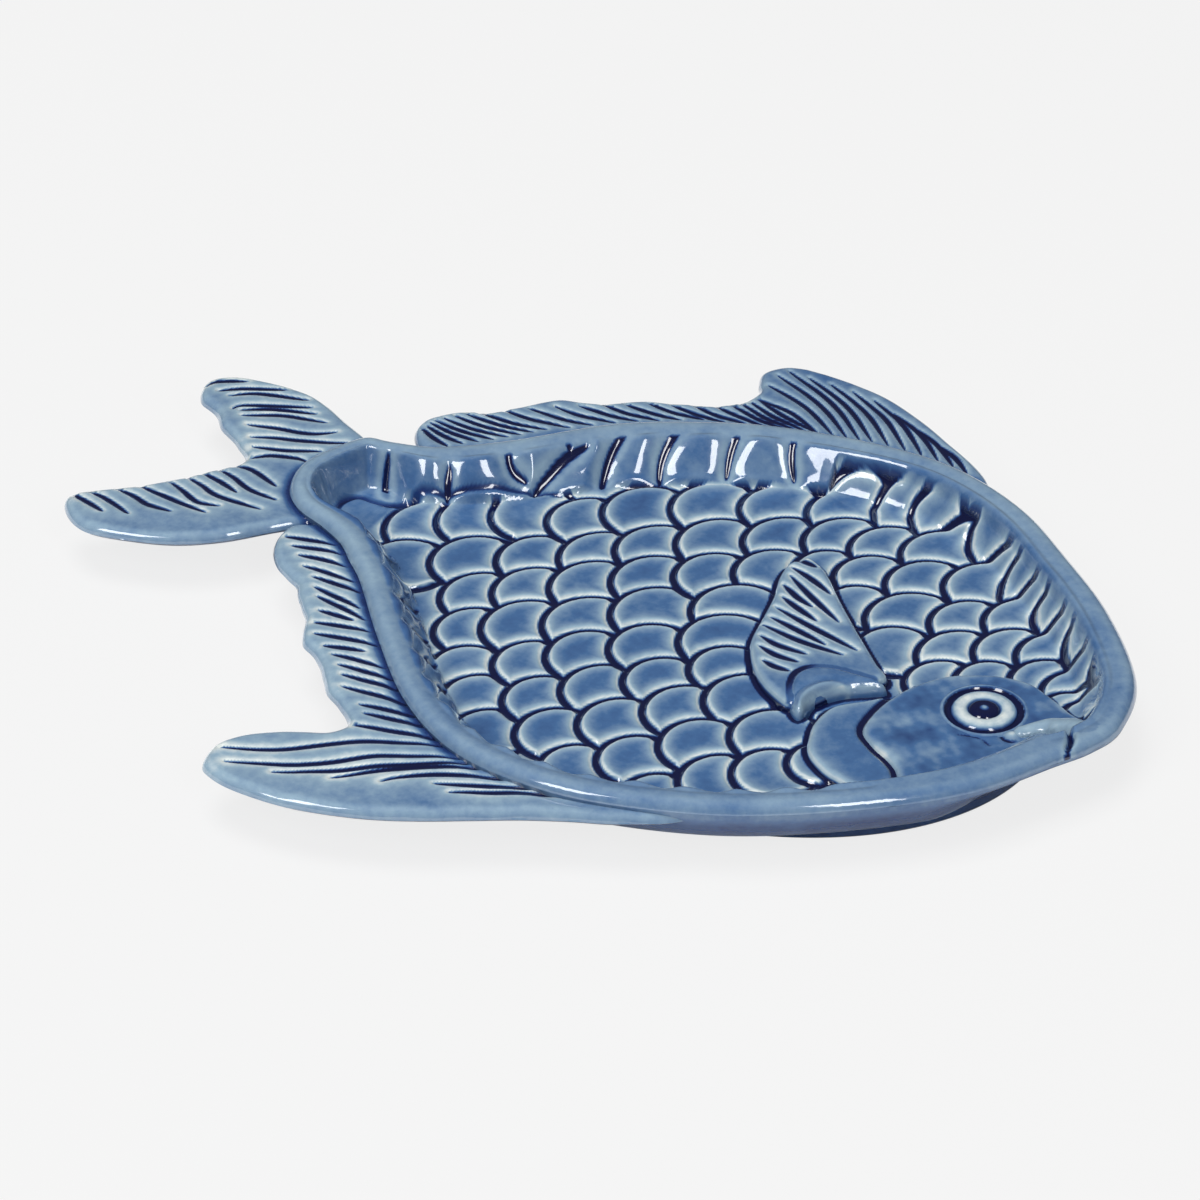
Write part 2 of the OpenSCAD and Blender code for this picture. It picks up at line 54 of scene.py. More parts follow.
SHIFT = np.array([(eye_lo.x + eye_hi.x) / 2 / MM - EYE[0],
                  (eye_lo.y + eye_hi.y) / 2 / MM - EYE[1], top_z])

FLOOR = -11.0          # the well's floor
UNDER = -16.5          # the underside, where the foot starts
TABLE = -20.0          # what the platter stands on
FIN_TOP = -3.0         # the fins' upper face
FIN_BOTTOM = -9.5      # and their lower one
GRID = 0.5             # spacing of mesh points on the dish
FINE_GRID = 0.45       # and on the fins and raised forms
TRIANGLE = 0.866       # height of an even triangle over its side
JITTER = 0.002         # unevenness of the grid, as a share of its spacing
MERGE = 1e-7           # points closer than this become one
EDGE_SLACK = 0.02      # how far outside an outline a point still counts as on it
RING_SLACK = 0.08      # how much nearer than its ring a ring's point may lie
CURVE_SAMPLES = 16     # samples between two given points
FINE_STEP = 0.8        # step along the outlines that need one finer than usual
TILE = 8.0             # side of the tiles that distances are measured in
DIAGONAL = 1.4143      # a tile's diagonal over its side, rounded up
FAR = 99.0             # stands for any distance too long to matter


# Curves and distances
def catmull(points, closed, step=1.5):
    """Smooth curve through given points, resampled to an even step."""
    p = np.asarray(points, float)
    n = len(p)
    out = []
    for i in range(n if closed else n - 1):
        if closed:
            a, b, c, d = p[i - 1], p[i], p[(i + 1) % n], p[(i + 2) % n]
        else:
            a, b, c, d = p[max(i - 1, 0)], p[i], p[i + 1], p[min(i + 2, n - 1)]
        t = np.linspace(0, 1, CURVE_SAMPLES + 1)[:-1, None]
        out.append((2 * b + (c - a) * t + (2 * a - 5 * b + 4 * c - d) * t ** 2
                    + (3 * b - a - 3 * c + d) * t ** 3) / 2)
    q = np.concatenate(out + [p[:1] if closed else p[-1:]])
    s = np.concatenate([[0], np.cumsum(np.linalg.norm(np.diff(q, axis=0), axis=1))])
    m = max(4, int(round(s[-1] / step)))
    u = np.linspace(0, s[-1], m + 1)
    q = np.stack([np.interp(u, s, q[:, 0]), np.interp(u, s, q[:, 1])], -1)
    return q[:-1] if closed else q


def segment_distance(p, line, closed):
    """Distance from each point to a line of segments, and how far along it the nearest place is.

    Points are taken tile by tile, each with only the segments that can be nearest there.
    """
    a = line if closed else line[:-1]
    b = np.roll(line, -1, 0) if closed else line[1:]
    v = b - a
    vv = (v * v).sum(1)
    best, share = np.empty(len(p)), np.empty(len(p))

    def measure(q, pick):
        w = q[:, None] - a[pick]
        t = np.clip((w * v[pick]).sum(-1) / vv[pick], 0, 1)
        return ((w - v[pick] * t[..., None]) ** 2).sum(-1), t

    cells = np.floor(p / TILE).astype(int)
    _, first, group = np.unique(cells, axis=0, return_index=True, return_inverse=True)
    group = group.ravel()
    order = np.argsort(group, kind="stable")
    ends = np.searchsorted(group[order], np.arange(len(first) + 1))
    for k, i in enumerate(first):
        rows = order[ends[k]:ends[k + 1]]
        centre = (cells[i] + 0.5) * TILE
        d, _ = measure(centre[None], np.arange(len(a)))
        pick = np.nonzero(np.sqrt(d[0]) <= np.sqrt(d.min()) + TILE * DIAGONAL)[0]
        d, t = measure(p[rows], pick)
        j = d.argmin(1)
        at = np.arange(len(rows))
        best[rows] = np.sqrt(d[at, j])
        share[rows] = (pick[j] + t[at, j]) / len(a)
    return best, share


def inside(p, line):
    """Which points lie within a closed outline."""
    a, b = line, np.roll(line, -1, 0)
    hit = np.zeros(len(p), bool)
    for (x0, y0), (x1, y1) in zip(a, b):
        if y0 != y1:
            cross = (y0 > p[:, 1]) != (y1 > p[:, 1])
            hit ^= cross & (p[:, 0] < x0 + (p[:, 1] - y0) / (y1 - y0) * (x1 - x0))
    return hit


def depth_in(p, line):
    """Distance inside a closed outline, negative outside it."""
    d, _ = segment_distance(p, line, True)
    return np.where(inside(p, line), d, -d)


def distance_outside(p, line, margin):
    """Distance out from a closed outline, for the points near it, and FAR for the rest."""
    near = ((p > line.min(0) - margin) & (p < line.max(0) + margin)).all(1)
    d = np.full(len(p), FAR)
    d[near] = -depth_in(p[near], line)
    return d


def inward(line):
    """Unit normals of a closed outline, towards its inside."""
    t = np.roll(line, -1, 0) - np.roll(line, 1, 0)
    t /= np.linalg.norm(t, axis=1)[:, None]
    n = np.stack([-t[:, 1], t[:, 0]], -1)
    area = (line[:, 0] * np.roll(line[:, 1], -1) - line[:, 1] * np.roll(line[:, 0], -1)).sum()
    return n if area > 0 else -n


def profile(points):
    """Smooth function through (place, height) points that never overshoots them."""
    x, y = np.array(points, float).T
    h, s = np.diff(x), np.diff(y) / np.diff(x)
    m = np.zeros(len(x))
    m[0], m[-1] = s[0], s[-1]
    for i in range(1, len(x) - 1):
        if s[i - 1] * s[i] > 0:
            w1, w2 = 2 * h[i] + h[i - 1], h[i] + 2 * h[i - 1]
            m[i] = (w1 + w2) / (w1 / s[i - 1] + w2 / s[i])

    def f(q):
        q = np.clip(q, x[0], x[-1])
        i = np.clip(np.searchsorted(x, q) - 1, 0, len(h) - 1)
        t = (q - x[i]) / h[i]
        return ((1 + 2 * t) * (1 - t) ** 2 * y[i] + t * (1 - t) ** 2 * h[i] * m[i]
                + t * t * (3 - 2 * t) * y[i + 1] + t * t * (t - 1) * h[i] * m[i + 1])
    return f


def ease(x):
    """Smooth step from 0 at 0 to 1 at 1."""
    x = np.clip(x, 0, 1)
    return x * x * (3 - 2 * x)


def rise(x, start, length):
    """0 up to a place, then smoothly up to 1."""
    return ease((x - start) / length)


def fade(x, start, length):
    """1 up to a place, then smoothly down to 0."""
    return 1 - ease((x - start) / length)


def bell(x, wide):
    """1 at 0, and nearly 0 from two widths on."""
    return np.exp(-(x / wide) ** 2)


def round_edge(t):
    """Height of a rounded edge, from 0 at the outline to 1 where it has become flat."""
    return np.sqrt(1 - (1 - np.clip(t, 0, 1)) ** 2)


WAVES = 7              # sine waves that are added up


def waves(p, size, seed):
    """Slow unevenness of hand-finished clay, between -1 and 1."""
    rng = np.random.default_rng(seed)
    out = np.zeros(len(p))
    for _ in range(WAVES):
        a, k = rng.uniform(0, 2 * math.pi, 2), rng.uniform(0.6, 1.5) * 2 * math.pi / size
        out += np.sin(k * (p[:, 0] * math.cos(a[0]) + p[:, 1] * math.sin(a[0])) + a[1])
    return out / WAVES


# Meshes
def mesh_piece(name, node_names, verts, faces, glaze, material, normals=None):
    """A piece of the platter from millimetre points, with its glaze depth as an attribute."""
    v = (np.asarray(verts, float) + SHIFT) * MM
    me = bpy.data.meshes.new(name)
    f = np.asarray(faces, np.int32)
    me.vertices.add(len(v))
    me.vertices.foreach_set("co", v.ravel())
    me.loops.add(f.size)
    me.loops.foreach_set("vertex_index", f.ravel())
    me.polygons.add(len(f))
    me.polygons.foreach_set("loop_start", np.arange(0, f.size, f.shape[1], dtype=np.int32))
    me.update(calc_edges=True)
    me.validate()
    me.polygons.foreach_set("use_smooth", np.ones(len(me.polygons), bool))
    if normals is not None:
        me.normals_split_custom_set_from_vertices(normals.tolist())
    a = me.attributes.new("glaze", "FLOAT", "POINT")
    a.data.foreach_set("value", np.asarray(glaze, np.float32))
    me.materials.append(material)
    o = bpy.data.objects.new(name, me)
    bpy.context.collection.objects.link(o)
    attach(o, "root")
    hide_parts(*node_names)


def vertex_normals(v, f):
    """Normals of the whole surface, so that pieces cut from it show no seam."""
    n = np.cross(v[f[:, 1]] - v[f[:, 0]], v[f[:, 2]] - v[f[:, 0]])
    out = np.zeros_like(v)
    for k in range(3):
        for axis in range(3):
            out[:, axis] += np.bincount(f[:, k], n[:, axis], len(v))
    return out / np.linalg.norm(out, axis=1)[:, None]


def within(line):
    """Test for the points that lie on or in an outline."""
    return lambda q: depth_in(q, line) > -EDGE_SLACK


def triangulate(points, keep):
    """Plan triangles, all facing up, whose middles pass a test."""
    verts, _, faces, _, _, _ = delaunay_2d_cdt([Vector(p) for p in points.tolist()],
                                               [], [], 0, MERGE, False)
    v = np.array([(q.x, q.y) for q in verts])
    f = np.array([list(q) for q in faces if len(q) == 3])
    f = f[keep(v[f].mean(1))]
    a, b, c = v[f[:, 0]], v[f[:, 1]], v[f[:, 2]]
    u, w = b - a, c - a
    flip = u[:, 0] * w[:, 1] - u[:, 1] * w[:, 0] < 0
    f[flip] = f[flip][:, ::-1]
    used = np.unique(f)
    remap = np.zeros(len(v), int)
    remap[used] = np.arange(len(used))
    return v[used], remap[f]


def field(line, rings, grid, clear):
    """Mesh points in an outline: rings that follow it closely, then an even triangular grid."""
    n = inward(line)
    pts = []
    for d in rings:
        q = line + n * d
        if d > 0:
            q = q[depth_in(q, line) > d - RING_SLACK]
        pts.append(q)
    lo, hi = line.min(0), line.max(0)
    xs, ys = np.arange(lo[0], hi[0], grid), np.arange(lo[1], hi[1], grid * TRIANGLE)
    gx, gy = np.meshgrid(xs, ys)
    gx[::2] += grid / 2
    g = np.stack([gx.ravel(), gy.ravel()], -1)
    g = g[inside(g, line)]
    g = g[depth_in(g, line) > clear]
    g += np.random.default_rng(3).normal(0, grid * JITTER, g.shape)
    return np.concatenate(pts + [g])


# Outlines, each read from the photograph in the plane that its edge lies in
DISH = catmull([
    (133.5, 23), (128, 42), (110, 64), (90, 81), (70, 95.5), (47, 104), (25, 104.2), (-1.4, 98.6),
    (-22, 89.5), (-42.8, 75.3), (-61.6, 53.6), (-75.6, 41), (-87, 36.5), (-95, 34.5), (-99.4, 26),
    (-102, 14.5), (-98.5, 4.2), (-91, -2.3), (-80.8, -6), (-72.3, -10), (-65.6, -15.5),
    (-58, -21.8), (-40, -40), (-20, -58),
    (0, -69), (20, -72), (42, -69), (70, -57.5), (95, -39.5), (115, -19), (126.5, 2),
    (131.5, 12)], True)
TAIL = catmull([
    (-90, 33), (-96, 36.5), (-105, 40.5), (-115, 45), (-125, 47.5), (-140, 46), (-149, 42),
    (-151, 36.5), (-147, 29.5), (-139, 25.5), (-133, 20.5), (-125, 16), (-118, 10), (-122, 2),
    (-131, -11), (-141, -21), (-147, -28), (-142, -35), (-133, -38.8), (-122, -36.5),
    (-110, -31.5), (-100, -23.5), (-91.5, -13), (-86, -6.5), (-84, -3), (-90, 1), (-96.5, 7),
    (-99, 15), (-97, 24), (-93, 30.5)], True, 1.0)
DORSAL = catmull([
    (62, 94), (56, 104), (50, 110), (40, 116), (30, 121.5), (20, 126.5), (10, 130), (0, 131.5),
    (-8, 132), (-14, 131.6), (-20, 129), (-24, 123), (-22.5, 118), (-20, 113.5), (-20.5, 108),
    (-22, 105), (-27, 100.5), (-33, 98), (-38, 95.5), (-44, 93), (-48, 90), (-52, 86),
    (-57, 84), (-63, 82), (-67, 78), (-70, 74), (-73, 70), (-76, 66), (-80, 64), (-84, 61),
    (-87, 57), (-89, 53), (-88.5, 48), (-86, 44), (-82, 41), (-70, 36), (-50, 56), (-30, 74),
    (-10, 86), (10, 93), (30, 97), (50, 95)], True, 1.0)
VENTRAL = catmull([
    (-80, 0), (-85, -5), (-88, -8), (-89, -12), (-88, -17), (-85, -22), (-81, -26), (-76, -29),
    (-72, -31), (-69, -34), (-65, -38), (-61, -42), (-58, -47), (-55, -51), (-50, -54),
    (-46, -57), (-42, -61), (-38, -65), (-33, -68), (-28.5, -71), (-26, -74), (-28, -78),
    (-33, -81), (-38, -84), (-43, -88), (-46, -92), (-48, -97), (-47, -103), (-44, -106.5),
    (-38, -108.6), (-30, -108.9), (-20, -107.8), (-10, -105), (0, -101), (10, -95.5), (20, -89),
    (30, -82.5), (40, -77), (50, -72), (62, -63), (60, -55), (40, -62), (20, -65), (0, -62),
    (-20, -51), (-40, -33), (-58, -15), (-70, -6)], True, 1.0)
TOWARDS_VIEW = np.array([0.53, -0.848])     # plan direction to the camera


def rounded_edge(line, near, far):
    """A fin outline read at its silhouette, moved to the widest place of its rounded side."""
    n = inward(line)
    facing = -(n @ TOWARDS_VIEW)
    return line + n * (facing * np.where(facing > 0, near, far))[:, None]


TAIL_END, DORSAL_END = -143, 131.9     # beyond these an outline is kept inside the solids' box
TAIL = rounded_edge(TAIL, 2.3, 0.9)
TAIL[:, 0] += 0.6 * ease((TAIL_END - TAIL[:, 0]) / 8)
VENTRAL = rounded_edge(VENTRAL, 2.3, 0.9)
DORSAL = rounded_edge(DORSAL, 0.8, 0.4)
DORSAL[:, 1] = np.minimum(DORSAL[:, 1], DORSAL_END)
BREAST = catmull([
    (29, 56.5), (26.5, 54), (25, 50), (26, 44), (29, 36), (31.5, 26), (34, 16), (38.5, 8.5),
    (44, 2.5), (50, -1.5), (57, -4), (61, 0), (65, 9), (72, 18.5), (66, 24.5), (55, 34.5),
    (44, 45), (36, 53)], True, 1.0)
ROOT = catmull([
    (73.8, 15.5), (71, 16.8), (65.5, 16.6), (58.5, 15.6), (53.5, 12.8), (51.3, 8.5), (52, 4),
    (54.3, -0.5), (57.5, -4.5), (60.3, -6), (61.3, -4.5), (61.2, -1.5), (61.7, 2), (63.6, 5.8),
    (66.4, 9.3), (70.6, 12.6)], True, 1.0)
CHEEK = catmull([
    (75.5, 12), (75, 3), (76.5, -3.5), (82, -8), (90, -12.5), (103, -24), (126, -4), (127, 24),
    (116, 31), (110, 34), (103, 36.5), (95, 35.5), (88, 32), (82, 27), (78, 20)], True, 1.0)
GILL = catmull([
    (76, 14), (70, 8.6), (65, 2.6), (64.3, -5), (66, -11), (69, -17), (74, -21), (80, -23.5),
    (90, -24), (104, -18), (92, -4), (82, 8)], True, 1.0)


# Cross-sections of the dish as (distance in from the outline, height)
RIM_CREST, RIM_LIP, WALL_FOOT = 3.2, 6.6, 15.0
rim_height = profile([(0, -2.6), (0.35, -1.55), (0.8, -0.95), (1.5, -0.4), (2.3, -0.1),
                      (RIM_CREST, 0), (4.4, -0.1), (5.6, -0.4), (RIM_LIP, -0.95), (7.6, -2.0),
                      (9.0, -4.0), (10.6, -6.6), (12.2, -9.3), (13.1, -10.5),
                      (14.0, -10.9), (WALL_FOOT, FLOOR)])
under_height = profile([(0, -2.6), (0.4, -4.2), (1.2, -6.0), (2.6, -8.6), (4.4, -11.2),
                        (6.2, -13.2), (7.0, -13.9), (7.6, -14.3), (9.0, -14.7), (12, -15.6),
                        (17, UNDER)])
nose_under_height = profile([(0, -2.6), (0.4, -3.7), (1.2, -4.6), (2.6, -5.5), (4.4, -6.2),
                             (6.6, -7.2), (9, -9.4), (12, -13.2), (15, -15.8), (17, UNDER)])

# Scales: centre and radius of each free edge's arc. A scale nearer the head lies on top.
SCALES = [
    (-63.5, 19.5, 13.2), (-54, 29.5, 13), (-43.5, 39, 12.7), (-30.5, 44, 11.6),
    (-19.5, 56, 12.7), (-5, 67, 12.9), (9.5, 76, 11.7), (26, 83.5, 12),
    (-60, 1.5, 12), (-45, 12, 12.4), (-31.5, 21.5, 11.7), (-18, 31.5, 12.3), (-7.5, 42, 12.2),
    (4.5, 53, 12.3), (18.5, 63, 12), (32, 71, 12), (43.5, 74, 11.5), (56.5, 79, 12),
    (73, 71.5, 12), (89, 62.5, 11.8), (102.5, 53, 11.3), (114, 42, 10.3),
    (-34.5, -0.5, 11.5), (-24, 8.5, 11.9), (-12.5, 18.5, 12.4), (-0.5, 29, 12.3),
    (11, 39, 11.2), (23.5, 48.5, 11.4), (34, 57, 9.5), (45.5, 60, 10.5), (59.5, 64.5, 11.7),
    (77, 54.5, 11.1), (92.5, 49, 11.2), (105, 42, 10.2), (114.5, 34.5, 7.5),
    (-28, -14.5, 10.7), (-17, -6, 12.6), (-4.5, 3.5, 12.8), (7.5, 16.5, 12.6),
    (24, 28.5, 12.5), (48.5, 46.5, 9.7), (63.5, 48.5, 12.6), (81.5, 40.5, 11.7),
    (92.5, 34.5, 9.3),
    (-20.5, -29, 10), (-7.5, -19, 10.5), (2.5, -8.5, 11.4), (14, 2.5, 11.2), (28.5, 15, 12.6),
    (66, 34, 10.8), (83, 28, 10.1),
    (-11, -38, 10), (3, -30.5, 10.6), (13.5, -19, 11.3), (24, -8, 10.6), (35, 5, 10.4),
    (-1, -49, 10), (13.5, -40.5, 10.9), (24.5, -29, 11.1), (35.5, -16, 11.4), (46, -4, 11.6),
    (25, -50, 9.8), (35.5, -39.5, 10.2), (46, -26, 11.3), (59, -13.5, 11.6),
    (47, -49, 9), (57, -36, 10.8), (66, -27, 10.3), (74, -17, 9)]

# Tall scales that climb the wall towards the head: rank among the others by place, then an
# outline that starts with its free edge and closes under the lip
TALL_SCALES = [
    (42, [(35.5, 97.3), (32, 95.5), (29.8, 92.5), (29.6, 89), (31.5, 85.5), (34, 82), (40, 80),
          (49, 84), (51, 100), (42, 102)]),
    (47, [(47, 97.8), (43, 96), (39.8, 93.5), (39.5, 91), (41, 88.5), (43.5, 85.5), (48, 83),
          (57, 86), (59, 100), (50, 102)]),
    (56, [(52.5, 95.8), (54, 92.8), (56, 90.5), (60, 87), (67, 91), (64, 99), (56, 100)]),
    (68, [(60.3, 92.3), (59.2, 90), (58.6, 88), (60, 84.5), (63.3, 81), (69, 77), (79, 81),
          (78, 92), (66, 98)]),
    (84, [(80.5, 81.3), (77.5, 80.3), (75.3, 78.5), (74.6, 76), (75.8, 72), (78, 68), (84, 65),
          (95, 69), (94, 81), (86, 86)]),
    (97, [(91, 71.5), (90, 69), (88.3, 67), (88.6, 65), (90, 62.5), (91.5, 61), (97, 57),
          (107, 61), (106, 73), (97, 77)]),
    (110, [(103.3, 61.3), (102.6, 59), (101.9, 56.5), (103, 53.5), (104.6, 51), (110, 47),
           (119, 49), (119, 61), (110, 68)]),
    (119, [(116, 49), (115, 47.2), (114.5, 45.5), (115.3, 43), (117.2, 40.3), (122, 37),
           (129, 41), (128, 53), (121, 58)]),
    (124, [(122, 39.6), (118, 39.8), (115.5, 39.3), (113.4, 37), (112.8, 34), (113.5, 30.5),
           (121, 29), (130, 33), (130, 39)])]

# Grooves between the tall scales of the wall, and the pooled line along the wall's foot
WALL_GROOVES = [
    [(-67, 31), (-68, 33), (-69, 35.5)], [(-49.5, 46), (-47.8, 51.3), (-46, 56.8), (-43.2, 62.5)],
    [(-52, 65.5), (-49, 61.5), (-46, 58.5)],
    [(-36, 76.5), (-36.8, 71.5), (-37.5, 65.5), (-36.5, 59.5), (-34, 57.5)],
    [(-24, 83), (-25.8, 77), (-26, 72), (-24, 68.5)], [(-10, 79.5), (-11, 83.5), (-10.8, 88.5)],
    [(2.8, 94.5), (3.8, 90), (6.5, 87)], [(-85.5, 31), (-84.5, 27.5), (-82, 25)],
    [(-59, 50.5), (-58, 47), (-55.5, 45.3), (-52, 46.3)]]
WALL_FOOT_LINE = [(-90, 12), (-91, 17), (-89, 21.5), (-84, 22), (-79, 22.8), (-74, 27.5),
                  (-68, 31.5), (-62, 35.8), (-57, 40), (-51, 44.8), (-47, 48), (-43.5, 50)]


NEAR_WALL = (-80, 96)  # where along the body the near wall is grooved
NEAR_PITCH = 12.5      # from groove to groove there


def hidden_wall_grooves():
    """The tall scales go on along the near wall, which the photograph doesn't show."""
    n = inward(DISH)
    tail, head = NEAR_WALL
    near = np.nonzero((DISH[:, 1] < 0) & (DISH[:, 0] > tail) & (DISH[:, 0] < head))[0]
    run = np.concatenate([[0], np.cumsum(np.hypot(*np.diff(DISH[near], axis=0).T))])
    out = []
    for k, s in enumerate(np.arange(6, run[-1] - 4, NEAR_PITCH)):
        i = near[np.searchsorted(run, s)]
        at, deeper = DISH[i], n[i]
        slant = np.array([deeper[1], -deeper[0]]) * (2.4 if k % 3 else 1.2)
        out.append([at + deeper * 8 + slant, at + deeper * 11, at + deeper * 14.6 - slant])
    return out


def scale_field(p):
    """For each point: distance in from its own scale's free edge, and from the one above it."""
    own = np.full(len(p), FAR)
    above = np.full(len(p), FAR)
    ranked = [(x, (x, y, r)) for x, y, r in SCALES] + TALL_SCALES
    for _, shape in sorted(ranked, key=lambda item: item[0]):
        if np.isscalar(shape[0]):
            x, y, r = shape
            d = np.hypot(p[:, 0] - x, p[:, 1] - y) - r
        else:
            d = distance_outside(p, catmull(shape, True, FINE_STEP), 9)
        on = d < 0
        own = np.where(on, -d, own)
        above = np.where(on, FAR, np.minimum(above, np.abs(d)))
    return own, above


SCALE_GROOVE = 0.9     # how deep the grooves between scales are
SCALE_CROWN = 0.55     # how much higher a scale is behind its free edge than at its far end


def floor_relief(p):
    """Height of the scales over the well's plain surface, and the distance to their grooves."""
    own, above = scale_field(p)
    cut = rise(own, 0.3, 1.5) * rise(above, 0.2, 2.3)
    crown = SCALE_CROWN * np.exp(-np.clip(own - 1.2, 0, 30) / 4.0)
    return -SCALE_GROOVE + (SCALE_GROOVE + crown) * cut, np.minimum(own, above)


def glaze_from_gap(gap, dark=0.95, soft=0.3, reach=1.6, base=0.5, halo=0.61):
    """Glaze depth beside a groove: pooled in it, broken thin over its shoulders."""
    pool = fade(gap - dark, -soft, 2 * soft)
    thin = np.exp(-np.clip(gap - dark, 0, FAR) / reach)
    return np.maximum(pool, base - halo * thin)


# Grooves drawn as lines
def groove_field(p, lines, width, taper=0.35):
    """Distance to the nearest groove line, over its half width and in millimetres.

    The half width tapers to both ends of a line.
    """
    best = np.full(len(p), 9.0)
    gap = np.full(len(p), FAR)
    for pts in lines:
        line = catmull(pts, False, 1.0)
        lo, hi = line.min(0) - 6, line.max(0) + 6
        near = np.nonzero(((p > lo) & (p < hi)).all(1))[0]
        if len(near):
            d, s = segment_distance(p[near], line, False)
            w = width * (taper + (1 - taper) * np.sin(np.pi * np.clip(s, 0, 1)) ** 0.6)
            best[near] = np.minimum(best[near], d / w)
            gap[near] = np.minimum(gap[near], d + (width - w) * 0.8)
    return best, gap


def fan(roots, tips, count, bow=0.0):
    """Ray lines between matched root and tip points, evenly spread."""
    r, t = np.array(roots, float), np.array(tips, float)
    out = []
    for k in range(count):
        u = k / (count - 1) * (len(r) - 1)
        i = min(int(u), len(r) - 2)
        a = r[i] + (r[i + 1] - r[i]) * (u - i)
        b = t[i] + (t[i + 1] - t[i]) * (u - i)
        side = np.array([a[1] - b[1], b[0] - a[0]])
        out.append([a, (a + b) / 2 + side * bow, b])
    return out


TAIL_RAYS = [
    [(-149.5, 36), (-148, 39.5), (-141, 44)], [(-145, 35.5), (-140, 40), (-129, 46)],
    [(-141, 35), (-135, 40), (-121, 44.5)], [(-136, 30), (-134, 33.5), (-118, 42)],
    [(-134, 30.5), (-127, 35.5), (-115, 40)], [(-132, 28.5), (-122, 34.5), (-110, 37.5)],
    [(-128, 25.5), (-120, 28), (-110, 31), (-105, 35)],
    [(-123.5, 21), (-115, 25), (-105, 29), (-99.5, 32.5)], [(-120, 17), (-113, 19.5), (-103, 25)],
    [(-117, 12), (-113, 16), (-107, 18.5), (-103, 19)], [(-119, 7), (-113, 7.5), (-103, 4.5)],
    [(-121, 3.5), (-115, 2), (-108, -0.5), (-99, -1)], [(-123, -0.5), (-117, -1.5), (-110, -3.5)],
    [(-126, -4), (-120, -5.5), (-113, -7.5), (-100, -6.5)],
    [(-128, -8.5), (-122, -10.5), (-116, -12.5), (-110, -11)],
    [(-134, -14), (-126, -15), (-111, -15.5)],
    [(-138, -18.5), (-132, -19), (-126, -20.5), (-119, -20)],
    [(-143, -23.5), (-138, -24), (-128, -26.5)], [(-147, -26.5), (-140, -28), (-134, -29.5)]]
VENTRAL_RAYS = [[a, b] for a, b in (
    ((-74, -10), (-87, -14)), ((-70, -12.5), (-83, -16.5)), ((-66, -16.5), (-79, -19)),
    ((-60, -21.5), (-75, -22.5)), ((-56, -24.5), (-70, -25.5)), ((-52, -30.5), (-67, -29)),
    ((-48, -34), (-64, -32)), ((-50, -36), (-60, -37)), ((-44, -37.5), (-58, -42)),
    ((-39, -41.5), (-55, -46)), ((-40, -45.5), (-50, -49)), ((-32, -48.5), (-46, -51)),
    ((-27, -51.5), (-42, -54)), ((-22, -54), (-39, -57)), ((-17, -58), (-36, -61)),
    ((-13, -61), (-28, -65)), ((-9, -63.5), (-25, -67.5)), ((-3, -66), (-25, -73)))] + [
    [(-1, -67.5), (-20, -78), (-33, -90), (-46, -97)],
    [(5, -69.5), (-12, -80), (-25, -92), (-42, -101)],
    [(9, -69), (-8, -82), (-20, -92), (-30, -98.5)],
    [(13, -69), (-2, -79), (-12, -88), (-17, -93)],
    [(21, -69.5), (5, -78), (-3, -84), (-6, -88)],
    [(30, -68), (15, -77), (5, -82)], [(38, -66), (20, -77), (10, -83)]]
RUFFLE_RAYS = fan(
    [(-76, 45), (-66, 56), (-58, 66), (-42, 81), (-25, 93), (-6, 100), (4, 103.5)],
    [(-87, 49), (-86, 55), (-79, 64), (-60, 79.5), (-42, 92), (-23, 102), (-18, 110)], 22, 0.05)
LOBE_RAYS = fan(
    [(4, 103.5), (10, 105), (15, 106), (20, 107), (27, 108), (34, 108), (41, 108), (48, 106)],
    [(-18, 110), (-20, 121), (-19, 127), (-10, 127), (0, 127), (10, 126), (21, 121), (34, 115)],
    11, -0.06)
BREAST_RAYS = [
    [(26.5, 53), (33, 52.5)], [(27.5, 49), (34, 47), (42, 43.5)],
    [(29, 45.5), (38, 40), (50, 33.5)], [(29.5, 41), (36, 37.5), (41, 36)],
    [(32, 36), (38, 33.5), (45, 31)],
    [(33, 31), (45, 28), (60, 25)], [(34, 26.5), (42, 25), (52, 23)],
    [(34, 22.5), (46, 21), (58, 21.5)], [(36, 18), (42, 16.5), (50, 17)],
    [(38, 14), (44, 12.5), (50, 13)], [(42, 9), (46, 8), (50, 8.5)]]


# Materials. The glaze is cream where it is thin and navy where it has pooled.
CREAM = (0.68, 0.73, 0.71)
PALE = (0.27, 0.385, 0.48)
BLUE = (0.055, 0.130, 0.285)
DEEP = (0.013, 0.035, 0.135)
NAVY = (0.0035, 0.006, 0.040)
GLAZE = [(0.0, CREAM), (0.2, PALE), (0.47, BLUE), (0.7, DEEP), (0.92, NAVY)]
SPECK = (0.03, 0.05, 0.16)
SPECK_SIZE, SPECK_STRENGTH = 0.09, 0.22
BROAD_MOTTLE, FINE_MOTTLE, RIPPLE, SPECKS = 55.0, 420.0, 160.0, 900.0    # per metre
ROUGHNESS = 0.10, 0.10                 # its spread and its least value


def mix(nodes, links, fac, a, b):
    """A colour between two others."""
    m = nodes.new("ShaderNodeMix")
    m.data_type = "RGBA"
    for socket, value in ((0, fac), (6, a), (7, b)):
        if isinstance(value, bpy.types.NodeSocket):
            links.new(value, m.inputs[socket])
        else:
            m.inputs[socket].default_value = value
    return m.outputs[2]


def noise(nodes, links, where, scale, detail, rough=0.55):
    """Cloudy values round one half."""
    n = nodes.new("ShaderNodeTexNoise")
    n.inputs["Scale"].default_value = scale
    n.inputs["Detail"].default_value = detail
    n.inputs["Roughness"].default_value = rough
    links.new(where, n.inputs["Vector"])
    return n.outputs["Fac"]


